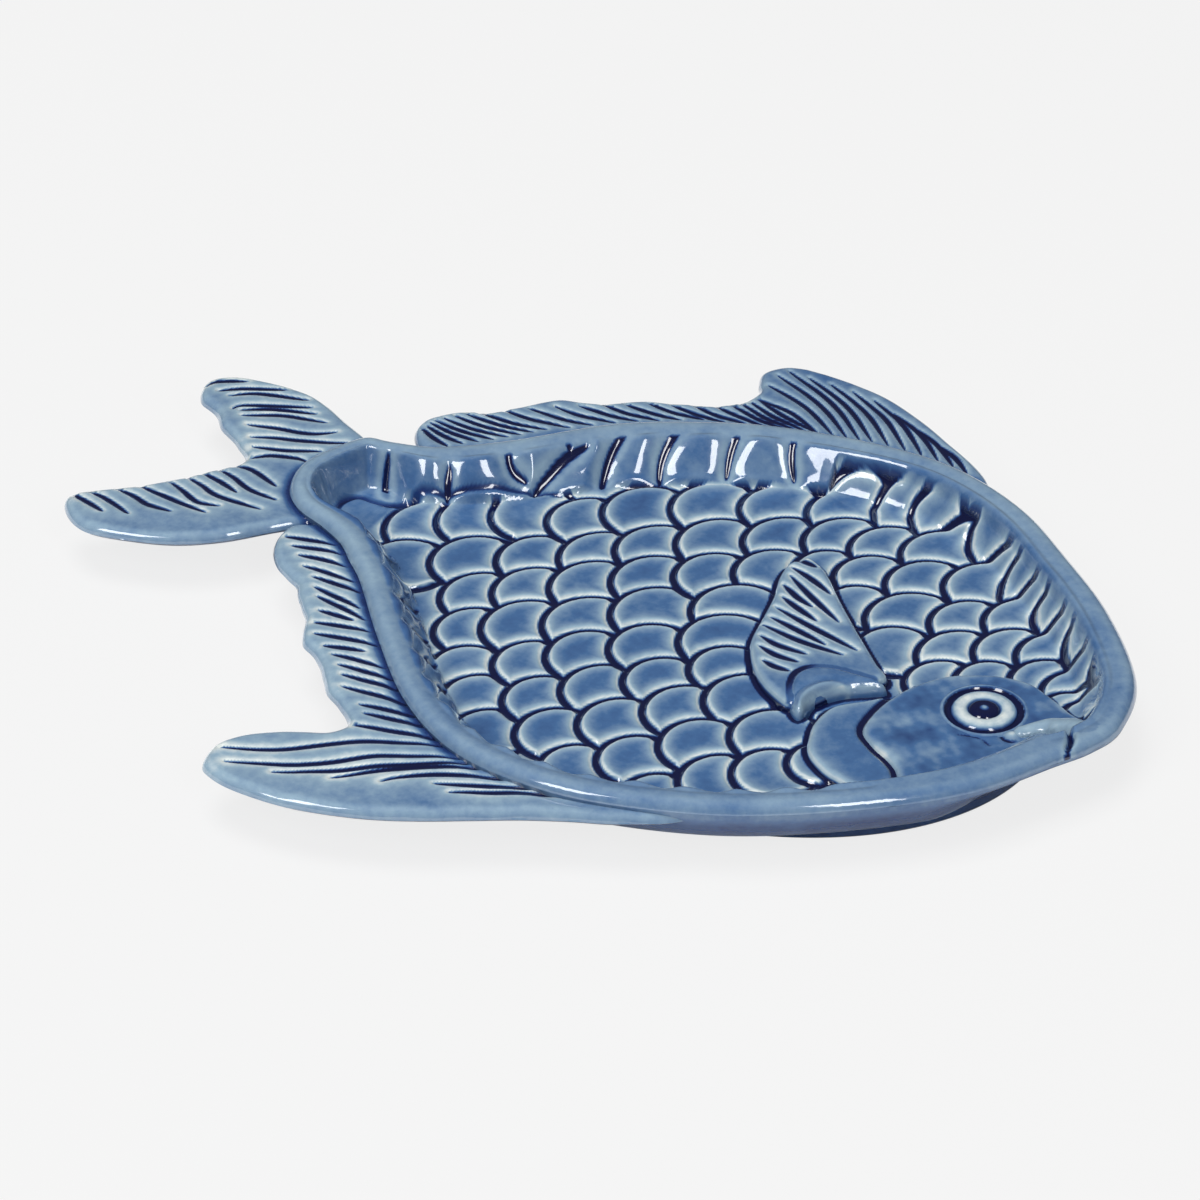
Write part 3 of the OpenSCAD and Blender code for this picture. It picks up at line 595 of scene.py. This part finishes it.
def math_node(nodes, links, op, *values, clamp=False):
    """A calculation with sockets or plain numbers."""
    m = nodes.new("ShaderNodeMath")
    m.operation = op
    m.use_clamp = clamp
    for i, value in enumerate(values):
        if isinstance(value, bpy.types.NodeSocket):
            links.new(value, m.inputs[i])
        else:
            m.inputs[i].default_value = value
    return m.outputs[0]


def glaze_material(name, mottle=0.16, coat=1.0):
    """Translucent glaze over pale clay: its colour follows how deep it has pooled."""
    mat = bpy.data.materials.new(name)
    mat.use_nodes = True
    nodes, links = mat.node_tree.nodes, mat.node_tree.links
    bsdf = nodes["Principled BSDF"]
    where = nodes.new("ShaderNodeTexCoord").outputs["Object"]
    pool = nodes.new("ShaderNodeAttribute")
    pool.attribute_name = "glaze"
    depth = pool.outputs["Fac"]
    broad = noise(nodes, links, where, BROAD_MOTTLE, 4.0)
    fine = noise(nodes, links, where, FINE_MOTTLE, 3.0, 0.6)
    depth = math_node(nodes, links, "MULTIPLY_ADD",
                      math_node(nodes, links, "SUBTRACT", broad, 0.5), mottle * 1.6, depth)
    depth = math_node(nodes, links, "MULTIPLY_ADD",
                      math_node(nodes, links, "SUBTRACT", fine, 0.5), mottle, depth, clamp=True)
    ramp = nodes.new("ShaderNodeValToRGB")
    while len(ramp.color_ramp.elements) < len(GLAZE):
        ramp.color_ramp.elements.new(0.5)
    for e, (place, colour) in zip(ramp.color_ramp.elements, GLAZE):
        e.position, e.color = place, (*colour, 1)
    links.new(depth, ramp.inputs["Fac"])
    speck = nodes.new("ShaderNodeTexVoronoi")
    speck.inputs["Scale"].default_value = SPECKS
    links.new(where, speck.inputs["Vector"])
    dots = math_node(nodes, links, "LESS_THAN", speck.outputs["Distance"], SPECK_SIZE)
    colour = mix(nodes, links, math_node(nodes, links, "MULTIPLY", dots, SPECK_STRENGTH),
                 ramp.outputs["Color"], (*SPECK, 1))
    links.new(colour, bsdf.inputs["Base Color"])
    rough = math_node(nodes, links, "MULTIPLY_ADD", broad, *ROUGHNESS)
    links.new(rough, bsdf.inputs["Roughness"])
    bsdf.inputs["IOR"].default_value = 1.5
    bsdf.inputs["Specular IOR Level"].default_value = 0.35
    bsdf.inputs["Coat Weight"].default_value = coat
    bsdf.inputs["Coat IOR"].default_value = 1.65
    bsdf.inputs["Coat Roughness"].default_value = 0.03
    bump = nodes.new("ShaderNodeBump")
    bump.inputs["Strength"].default_value = 0.12
    bump.inputs["Distance"].default_value = 0.0004
    links.new(noise(nodes, links, where, RIPPLE, 2.0), bump.inputs["Height"])
    links.new(bump.outputs["Normal"], bsdf.inputs["Normal"])
    return mat


well_glaze = glaze_material("well_glaze")
under_glaze = glaze_material("under_glaze", coat=0.2)
fin_glaze = glaze_material("fin_glaze", mottle=0.2)
eye_glaze = glaze_material("eye_glaze", mottle=0.3)


# Dish
MOUTH = [(112.5, 10.5), (116, 14), (119.5, 15.3), (122.4, 14.4), (124.8, 12.1), (126.2, 9.4),
         (127.6, 5), (129.5, 1)]
JAW = [(98, -30), (104, -23), (110, -15), (115, -7), (118.5, 0), (120.8, 6.5)]
LIP = [(110.6, 15.4), (113, 17.8), (116, 19.3), (119, 19), (122.6, 18.3), (126, 16.6)]
JAW_HALF = 6.8         # half the lower jaw's width
SUNK = 20              # how far a ridge is sunk out of sight beside its own width
BACK_SPREAD = 4.4      # how much further out the rim reaches under the dorsal fin
SCALES_END = -79       # where the floor's scales end towards the tail
SCALED_HEAD, SCALED_BACK, SCALED_NEAR = 7.6, 11.4, 13.2    # how far in they start by region
WALL_TOP, WALL_END = 5.6, 15.4         # what the wall's tall scales lie between
RIM_GLAZE, WALL_GLAZE, JAW_GLAZE, LIP_GLAZE = 0.32, 0.43, 0.37, 0.42
FINE_DISH = catmull(DISH, True, FINE_STEP)
RIM_RINGS = [0, 0.12, 0.35, 0.65, 1.0, 1.45, 1.9]
UNDER_RINGS = [0, 0.1, 0.4, 0.8, 1.2, 1.9, 2.6, 3.5, 4.4, 5.3, 6.2, 7.0, 7.6]


def round_ridge(top, height, d, half):
    """Height of a ridge with a round back, at a distance from its middle line."""
    return top - height * (1 - np.sqrt(np.clip(1 - (d / half) ** 2, 0, 1))) - SUNK * (d > half)


def lip_height(p):
    """The upper lip, a low ridge from the nostril that rises into the rim."""
    d, s = segment_distance(p, catmull(LIP, False, 0.6), False)
    return round_ridge(-6.4 + 5.6 * ease(s), 2.6, d, 2.4 + 1.2 * s)


def jaw_height(p):
    """The near end of the rim, which swells into the lower jaw and ends round at the mouth."""
    d, s = segment_distance(p, catmull(JAW, False), False)
    return round_ridge(-0.15, 7.5, d, JAW_HALF * (0.9 + 0.1 * s))


def back_spread(p):
    """How much wider than elsewhere the rim and the wall are under the dorsal fin."""
    return BACK_SPREAD * bell(p[:, 0] + 22, 45) * rise(p[:, 1], 5, 15)


def well_depth(p):
    """Distance in from the rim, measured faster at the tail, where the wall is steep."""
    d = depth_in(p, DISH)
    d = d - 0.6 * back_spread(p) * np.clip(d / 17, 0, 1)
    return d + 0.85 * np.maximum(d - RIM_CREST, 0) * rise(-p[:, 0], 72, 16)


def scaled_share(p, d):
    """Where the scales lie: up the wall at the head, and elsewhere from the wall's foot on."""
    x, y = p.T
    along = rise(x, SCALES_END, 3)
    back = (x < 16) & (y > 0)
    near_side = (y < -8) | (x < -60) & (y < 6)
    share = rise(d, SCALED_HEAD, 2.6) * along
    share = np.where(back, rise(d, SCALED_BACK + 0.44 * back_spread(p), 1.6) * along, share)
    return np.where(near_side, rise(d, SCALED_NEAR, 1.6) * along, share)


def beside(p, lines, wide):
    """How strongly glaze pools in the corner round the raised forms, 1 at their outlines."""
    out = np.zeros(len(p))
    for line in lines:
        d = distance_outside(p, line, 4)
        out = np.maximum(out, fade(d, wide, 0.7) * (d > -1.5))
    return out


def well_surface(p):
    """Height and glaze depth over the rim, the wall and the scaled floor."""
    x, y = p.T
    d = well_depth(p)
    scaled = scaled_share(p, d)
    relief, gap = floor_relief(p)
    z = rim_height(d) + 0.16 * waves(p, 30, 5) * ease(d / 3)
    z = z + relief * scaled

    # Soft pillows between the wall's grooves, and the pooled line along its foot
    wall = rise(d, WALL_TOP, 2.4) * ease((WALL_END - d) / 2.4) * fade(scaled, 0.3, 0.5)
    close, wall_gap = groove_field(p, WALL_GROOVES + hidden_wall_grooves(), 1.35, 0.5)
    pillow = 1 - bell(wall_gap, 3.6)
    z = z + wall * (2.0 * pillow + 0.35 * waves(p, 22, 31) - 0.7 * bell(close, 1))
    close, foot_gap = groove_field(p, [WALL_FOOT_LINE], 1.0, 0.7)
    z = z - 0.9 * bell(close, 1)

    # The lips of the mouth, blended into the rim, and the slit between them
    jaw, lip = jaw_height(p), lip_height(p)
    z = np.maximum(np.maximum(z, lip), jaw) + 0.3 * bell(z - jaw, 0.8) * (jaw > -9)
    close, mouth_gap = groove_field(p, [MOUTH], 0.8, 0.8)
    z = z - 2.4 * bell(close, 1) * rise(d, 0.4, 2.5)

    # Glaze of the scales, the wall and the rim
    share = rise(scaled, 0.1, 0.8)
    halo = 0.16 * bell(wall_gap - 2.0, 1.1)
    # Painted shade: the near wall towards the tail, turned away from the lamps, gets deeper
    # glaze, and the rim's paler glaze stops sooner there.
    near_wall_painted_shade = 0.16 * ease((10 - y) / 12) * ease(-x / 20)
    plain = WALL_GLAZE + near_wall_painted_shade - halo + 0.05 * waves(p, 7, 32)
    glaze = glaze_from_gap(gap) * share + plain * (1 - share)
    rim = ease((8.4 - near_wall_painted_shade * 8 - d) / 2.0)
    # Painted shade: the rim's glaze deepens towards the nose and along the near rim; just outside
    # the crest it is a little paler.
    rim_glaze_and_painted_shade = RIM_GLAZE + 0.06 * ease(np.maximum(x - 70, -25 - y) / 40)
    glaze = glaze * (1 - rim) + (rim_glaze_and_painted_shade - 0.05 * bell(d - 2.6, 1.2)) * rim

    # Glaze pooled in the wall's grooves, along its foot, in the mouth and round raised forms
    dark = fade(wall_gap, 0.6, 0.8) * np.minimum(2 * wall, 1)
    foot_width = 1.1 + 1.5 * rise(-x, 68, 8)
    foot = (0.8 + 0.2 * waves(p, 12, 33)) * fade(foot_gap, 0.1, foot_width)
    glaze = np.maximum(glaze, np.maximum(dark, foot))
    glaze = glaze - 0.12 * bell(mouth_gap - 1.1, 0.7)
    glaze = np.where(jaw > -7, np.minimum(glaze, JAW_GLAZE), glaze)
    glaze = np.where(lip > -9, LIP_GLAZE - 0.2 * ease((lip - z + 0.5) / 0.5), glaze)
    glaze = np.maximum(glaze, beside(p, (BREAST, ROOT, GILL, CHEEK), 0.7) * (d > 12))
    return np.minimum(z, 0), np.maximum(glaze, fade(mouth_gap, 0.35, 0.4))


def make_dish():
    """The upper surface, in one mesh for the rim and the wall and one for the floor."""
    v, f = triangulate(field(FINE_DISH, RIM_RINGS, GRID, 2.2), within(DISH))
    z, glaze = well_surface(v)
    mid = depth_in(v[f].mean(1), DISH)
    verts = np.column_stack([v, z])
    normals = vertex_normals(verts, f)
    for name, nodes, part in (
            ("rim_and_wall", ("dish_shell", "border_scales"), mid < WALL_FOOT),
            ("scaled_floor", ("floor_scales",), mid >= WALL_FOOT)):
        used, g = np.unique(f[part], return_inverse=True)
        mesh_piece(name, nodes, verts[used], g.reshape(-1, 3), glaze[used], well_glaze,
                   normals[used])


def make_underside():
    """The outer face below the rim and the flat underside, shallower under the nose."""
    v, f = triangulate(field(FINE_DISH, UNDER_RINGS, 2.0, 8.6), within(DISH))
    d = depth_in(v, DISH)
    nose = rise(v[:, 0], 104, 16)
    z = under_height(d) * (1 - nose) + nose_under_height(d) * nose
    lip = bell(d - 6.7 + 3 * nose, 0.6)
    # Painted shade: the glaze deepens past the rim's edge down the outer face and again on the
    # underside, darkening faces turned from the lamps; a band at the outer face's lower edge is
    # paler.
    glaze = 0.4 + 0.22 * ease(d / 2) + 0.14 * ease((d - 7.5 + 3 * nose) / 1.0) - 0.36 * lip
    mesh_piece("underside", (), np.column_stack([v, z]), f[:, ::-1], glaze, under_glaze)


FOOT_CENTRE, FOOT_REACH = np.array([28.0, 17.0]), np.array([85.0, 66.0])


def lathe(name, node, centre, section, material, reach=0.0, count=72, downwards=False):
    """A turned form from (radius, height, glaze) points. An oval one has a reach in X and Y."""
    turn = np.linspace(0, 2 * math.pi, count, endpoint=False)
    ring = np.stack([np.cos(turn), np.sin(turn)], -1)
    verts = [np.column_stack([np.array(centre) + ring * (reach + r), np.full(count, z)])
             for r, z, _ in section]
    faces = np.array([(k * count + i, k * count + (i + 1) % count,
                       (k + 1) * count + (i + 1) % count, (k + 1) * count + i)
                      for k in range(len(section) - 1) for i in range(count)])
    mesh_piece(name, node, np.concatenate(verts), faces[:, ::-1] if downwards else faces,
               np.repeat([g for _, _, g in section], count), material)


def make_foot():
    """The oval ring that the platter stands on, from its outer side down and in."""
    lathe("foot", ("foot_ring",), FOOT_CENTRE,
          [(1.6, UNDER + 2.4, 0.66), (1.0, UNDER + 1.0, 0.66), (0.6, UNDER, 0.64),
           (0.3, -18.0, 0.6), (0.1, -19.0, 0.6), (-0.3, -19.7, 0.5), (-1.0, TABLE, 0.3),
           (-4.6, TABLE, 0.3), (-5.4, -19.6, 0.4), (-5.8, -18.8, 0.6),
           (-6.0, UNDER - 0.5, 0.66), (-6.8, UNDER + 1.0, 0.66)],
          under_glaze, FOOT_REACH, 360, True)


# Fins
EDGE_RINGS = [0, 0.08, 0.3, 0.65, 1.1, 1.65, 2.25]
BEVEL_RINGS = [0, 0.2, 0.8, 1.6, 2.4]
EDGE_ROUND = 2.6       # how far in a fin's rounded edge reaches on top, and how deep it is
UNDER_ROUND = 8.0      # how far in the bevel underneath reaches
SEAM = FIN_TOP - EDGE_ROUND            # height of the outline, where both meet
SEAM_SLACK = 0.03      # how far in from the outline a point is still put at that height
RAY_WIDTH, RAY_DEPTH = 1.35, 0.65      # half width and depth of a ray groove
# Glaze depth in a fin's corner by the rim, standing for pooled glaze and painted shade together.
POOLED_AND_SHADED = 0.78          # glaze depth in the corner between a fin and the rim


def ray_relief(near, d):
    """Depth of the ray grooves, which end before the fin's edge."""
    return RAY_DEPTH * bell(near, 0.9) * ease(d / 1.2)


def fin_top(p, line, rays, base, thin, reach):
    """Height and glaze depth over a fin. Beside its rays the glaze is thinner than its base."""
    x, y = p.T
    d = depth_in(p, line)
    out = -depth_in(p, DISH)
    near, gap = groove_field(p, rays, RAY_WIDTH)
    z = FIN_TOP - EDGE_ROUND * (1 - round_edge(d / EDGE_ROUND))
    z = z - ray_relief(near, d)
    z = z + 0.25 * waves(p, 18, 11)
    z = z - 0.6 * bell(out, 2.2)
    glaze = glaze_from_gap(gap, 0.85, 0.3, reach, base, thin * base)
    glaze = glaze - (gap > 0.8) * (0.05 * rise(-x, 10, 40) + 0.06 * rise(-y, 70, 12))
    # Pooled glaze and painted shade: a darker band on the fin beside the rim, fading out where
    # the ventral fin runs into the outer face.
    joined = 1 - rise(x, -5, 30) * (y < 0)
    corner = joined * bell(np.clip(out, 0, 9), 1.7)
    glaze = glaze + corner * np.clip(POOLED_AND_SHADED - glaze, 0, 1)
    glaze = glaze - 0.08 * bell(d - 1.2, 1.2) * (gap > 1)
    return np.where(d < SEAM_SLACK, SEAM, z), glaze


def make_fin(name, node, line, rays, base, thin, reach):
    """A fin of a grooved top and a plain bevelled underside."""
    v, f = triangulate(field(line, EDGE_RINGS, FINE_GRID, 2.6), within(line))
    z, glaze = fin_top(v, line, rays, base, thin, reach)
    v2, f2 = triangulate(field(line, BEVEL_RINGS, 1.6, 3.2), within(line))
    under = 1 - np.clip(depth_in(v2, line) / UNDER_ROUND, 0, 1)
    z2 = SEAM - (SEAM - FIN_BOTTOM) * (1 - under ** 2)
    verts = np.concatenate([np.column_stack([v, z]), np.column_stack([v2, z2])])
    faces = np.concatenate([f, f2[:, ::-1] + len(v)])
    mesh_piece(name, (node,), verts, faces, np.concatenate([glaze, np.full(len(v2), 0.45)]),
               fin_glaze)


# Raised forms in the well
RAISED_RINGS = [0, 0.1, 0.3, 0.6, 1.0]
HIDDEN = 10.0          # how far in from the rim such a form may end unseen, inside the wall
SEAT = FLOOR - 1.4     # the height that their edges rise from, below the scales
CHEEK_TOP = -8.0
EYE_SEAT = 9.7         # radius of the flat seat under the eye
NOSTRIL, NOSTRIL_RADIUS = (109.0, 13.4), 2.7
BLADE_RAY_WIDTH = 1.75
BROW_WRINKLES = [[(97.5, 6.5), (100.5, 7.8), (104, 8.6)], [(100.5, 8), (102, 11)],
                 [(103.5, 8.4), (106.5, 6.8)]]
ROOT_FOLD = [(60, -4.5), (59.2, -1.2), (59.4, 2.2), (60.9, 5.8), (63.6, 8.3), (66.6, 9.4)]
FOLD_CREASE = 2.4      # from the fold's middle to the crease beside it


def edge_pool(d):
    """Glaze pooled at a raised form's outline."""
    return fade(d, 0.25, 0.5)


def make_raised(name, node, line, base, top, edge, extra, crown=0.0):
    """A low form with a rounded edge, closed underneath by the floor."""
    on_form = within(line)
    v, f = triangulate(field(line, RAISED_RINGS, FINE_GRID, 1.3),
                       lambda q: on_form(q) & (depth_in(q, DISH) > HIDDEN))
    d = depth_in(v, line)
    z = base + (top - base) * round_edge(d / edge) + crown * ease(d / 8)
    glaze = np.maximum(edge_pool(d), 0.5 - 0.42 * np.exp(-np.clip(d - 0.7, 0, 9) / 1.3))
    z, glaze = extra(v, d, z, glaze)
    mesh_piece(name, node, np.column_stack([v, z]), f, glaze, well_glaze)


def cheek_extra(p, d, z, glaze):
    """Uneven clay with a flat seat for the eye, the nostril and the wrinkles of the brow."""
    eye = np.hypot(p[:, 0] - EYE[0], p[:, 1] - EYE[1])
    z = z + 0.45 * waves(p, 15, 21) * ease(d / 4) * rise(eye, 9.5, 4)
    z = np.where(eye < EYE_SEAT, CHEEK_TOP - 1.9, z)
    glaze = glaze + 0.16 * waves(p, 10, 22) + 0.08 * waves(p, 4, 23)
    x, y = p[:, 0] - NOSTRIL[0], p[:, 1] - NOSTRIL[1]
    nose = np.hypot(x, y)
    side = 0.3 + 0.7 * ease(0.5 - (x + y) / 5)
    z = z + 0.6 * bell(nose, 1.6) - 0.6 * bell(nose - NOSTRIL_RADIUS, 0.7) * side
    glaze = glaze - 0.3 * bell(nose, 1.5)
    glaze = np.maximum(glaze, 0.95 * np.exp(-((nose - NOSTRIL_RADIUS) / 0.55) ** 4) * side)
    near, gap = groove_field(p, BROW_WRINKLES, 0.6, 0.2)
    return z - 0.35 * bell(near, 1), np.maximum(glaze, 0.85 * fade(gap, 0.1, 0.6))


def gill_extra(p, _, z, glaze):
    """The crescent is sunk and dark along the cheek that overlaps it."""
    corner = beside(p, (CHEEK,), 0.7)
    return z - 0.7 * corner, np.maximum(glaze - 0.04 + 0.05 * waves(p, 9, 23), corner)


def breast_extra(p, d, z, glaze):
    """Ray grooves, and glaze pooled where the root and the gill cover overlap the blade."""
    near, gap = groove_field(p, BREAST_RAYS, BLADE_RAY_WIDTH)
    lined = glaze_from_gap(gap, 0.95, 0.4, 1.4, 0.42, 0.46)
    glaze = np.where(lined > 0.55, lined, np.minimum(glaze, lined))
    glaze = np.maximum(glaze, edge_pool(d))
    corner = beside(p, (ROOT, GILL), 0.0) * (0.55 + 0.45 * ease((56 - p[:, 0]) / 5))
    return z - ray_relief(near, d), np.maximum(glaze, corner)


def root_extra(p, d, z, _):
    """The lobe is thin-glazed at its edge, and folds over at its tip."""
    tip = ease((62 - p[:, 0]) / 8)
    glaze = 0.46 - 0.2 * bell(d - 0.9, 0.5) + 0.05 * waves(p, 9, 41)
    glaze = np.maximum(glaze, fade(d, 0.1, 0.35) * (0.5 + 0.5 * tip))
    near, gap = groove_field(p, [ROOT_FOLD], 1.0, 0.4)
    crease = gap - FOLD_CREASE
    z = z + 0.7 * bell(near, 1) - 0.6 * bell(crease, 0.9) * tip
    glaze = glaze - 0.16 * bell(near, 0.9)
    return z, np.maximum(glaze, 0.8 * bell(crease, 0.5) * tip)


def make_eye():
    """The raised ring, the eyeball in it and the pupil, all turned round one centre."""
    z = CHEEK_TOP
    lathe("eye_rim", ("eye_ring",), EYE,
          [(11.2, z - 0.4, 0.5), (10.7, z + 0.1, 0.42), (10.2, z + 0.25, 0.36),
           (9.9, z + 0.05, 0.6), (9.6, z - 0.4, 1.0), (9.1, z - 0.9, 1.0), (8.6, z - 0.95, 1.0),
           (8.1, z - 0.5, 1.0), (7.7, z, 0.8)], eye_glaze)
    lathe("eye_white", ("eyeball",), EYE,
          [(8.2, z - 0.5, 0.95), (7.9, z + 0.05, 0.5), (7.3, z + 0.45, 0.2), (6.3, z + 0.7, 0.1),
           (5.3, z + 0.75, 0.08), (4.5, z + 0.6, 0.14), (4.0, z + 0.25, 0.6),
           (3.6, z - 0.1, 1.0)], eye_glaze)
    lathe("eye_pupil", ("pupil",), EYE,
          [(3.9, z - 0.1, 1.0), (3.6, z + 0.45, 1.0), (3.0, z + 0.75, 1.0), (2.0, z + 0.7, 1.0),
           (1.3, z + 0.75, 0.95), (0.95, z + 0.9, 0.7), (0.45, z + 1.0, 0.35),
           (0.01, z + 1.0, 0.3)], eye_glaze)


make_dish()
make_underside()
make_foot()
make_fin("tail", "tail_fin", TAIL, TAIL_RAYS, 0.42, 0.8, 1.7)
make_fin("dorsal", "dorsal_fin", DORSAL, RUFFLE_RAYS + LOBE_RAYS, 0.47, 0.72, 1.0)
make_fin("ventral", "ventral_fin", VENTRAL, VENTRAL_RAYS, 0.4, 0.85, 1.7)
make_raised("breast_blade", ("breast_fin",), BREAST, SEAT, -7.6, 2.4, breast_extra)
make_raised("breast_lobe", ("breast_fin_root",), ROOT, FLOOR - 1.0, -6.8, 3.0, root_extra,
            crown=0.4)
make_raised("gill_plate", ("gill_cover",), GILL, SEAT, CHEEK_TOP - 0.8, 2.2, gill_extra)
make_raised("cheek_plate", ("cheek",), CHEEK, SEAT, CHEEK_TOP, 2.4, cheek_extra)
make_eye()


# Floor, light and camera
MIDDLE = Vector(SHIFT * MM)            # what the lamps and the camera are turned to, in metres
STAGE_HALF = 4.0
PAPER, PAPER_SEEN = 0.8, 0.9           # the floor's grey as it lights the platter and as it shows
VIEW_AZIMUTH, VIEW_ELEVATION, VIEW_DISTANCE = -58, 34, 1.0
SENSOR_WIDTH, LENS = 36, 120           # millimetres


def make_stage():
    """White paper, which takes the platter's shadow and looks paler to the camera."""
    half = STAGE_HALF
    me = bpy.data.meshes.new("floor")
    me.from_pydata([(-half, -half, 0), (half, -half, 0), (half, half, 0), (-half, half, 0)], [],
                   [(0, 1, 2, 3)])
    mat = bpy.data.materials.new("floor_paper")
    mat.use_nodes = True
    nodes, links = mat.node_tree.nodes, mat.node_tree.links
    bsdf = nodes["Principled BSDF"]
    bsdf.inputs["Base Color"].default_value = (PAPER, PAPER, PAPER, 1)
    bsdf.inputs["Roughness"].default_value = 0.9
    bsdf.inputs["Specular IOR Level"].default_value = 0.0
    glow = nodes.new("ShaderNodeEmission")
    glow.inputs["Color"].default_value = (PAPER_SEEN, PAPER_SEEN, PAPER_SEEN, 1)
    seen = nodes.new("ShaderNodeLightPath").outputs["Is Camera Ray"]
    blend = nodes.new("ShaderNodeMixShader")
    links.new(math_node(nodes, links, "MULTIPLY", seen, 0.9), blend.inputs[0])
    links.new(bsdf.outputs[0], blend.inputs[1])
    links.new(glow.outputs[0], blend.inputs[2])
    links.new(blend.outputs[0], nodes["Material Output"].inputs["Surface"])
    me.materials.append(mat)
    o = bpy.data.objects.new("floor", me)
    bpy.context.collection.objects.link(o)


def make_world():
    """A dim, faintly blue sky."""
    world = bpy.data.worlds.new("studio")
    bpy.context.scene.world = world
    world.use_nodes = True
    sky = world.node_tree.nodes["Background"]
    sky.inputs["Color"].default_value = (0.96, 0.98, 1.0, 1)
    sky.inputs["Strength"].default_value = 0.06


def aimed(name, data, azimuth, elevation, distance):
    """A lamp or camera turned to the platter's middle, from a direction in degrees."""
    a, e = math.radians(azimuth), math.radians(elevation)
    way = Vector((math.cos(e) * math.cos(a), math.cos(e) * math.sin(a), math.sin(e)))
    o = bpy.data.objects.new(name, data)
    bpy.context.collection.objects.link(o)
    o.location = MIDDLE + way * distance
    o.rotation_euler = (-way).to_track_quat("-Z", "Y").to_euler()
    return o


def softbox(name, azimuth, elevation, distance, size, power, mirrored=True):
    """A rectangular lamp. One that isn't mirrored in the glaze only fills the shadows."""
    data = bpy.data.lights.new(name, "AREA")
    data.shape = "RECTANGLE"
    data.size, data.size_y = size
    data.energy = power
    aimed(name, data, azimuth, elevation, distance).visible_glossy = mirrored


def make_camera():
    """The photograph's view: 34 degrees down, turned 32 degrees, from a metre away."""
    data = bpy.data.cameras.new("camera")
    data.sensor_width, data.lens = SENSOR_WIDTH, LENS
    data.clip_end = 20
    o = aimed("camera", data, VIEW_AZIMUTH, VIEW_ELEVATION, VIEW_DISTANCE)
    bpy.context.scene.camera = o


make_stage()
make_world()
softbox("window_left", -102, 42, 2.0, (0.6, 0.8), 13)
softbox("window_right", -34, 36, 2.0, (0.35, 0.9), 9)
softbox("overhead", -120, 80, 2.6, (1.5, 1.2), 62, mirrored=False)
make_camera()
bpy.context.scene.view_settings.view_transform = "Standard"
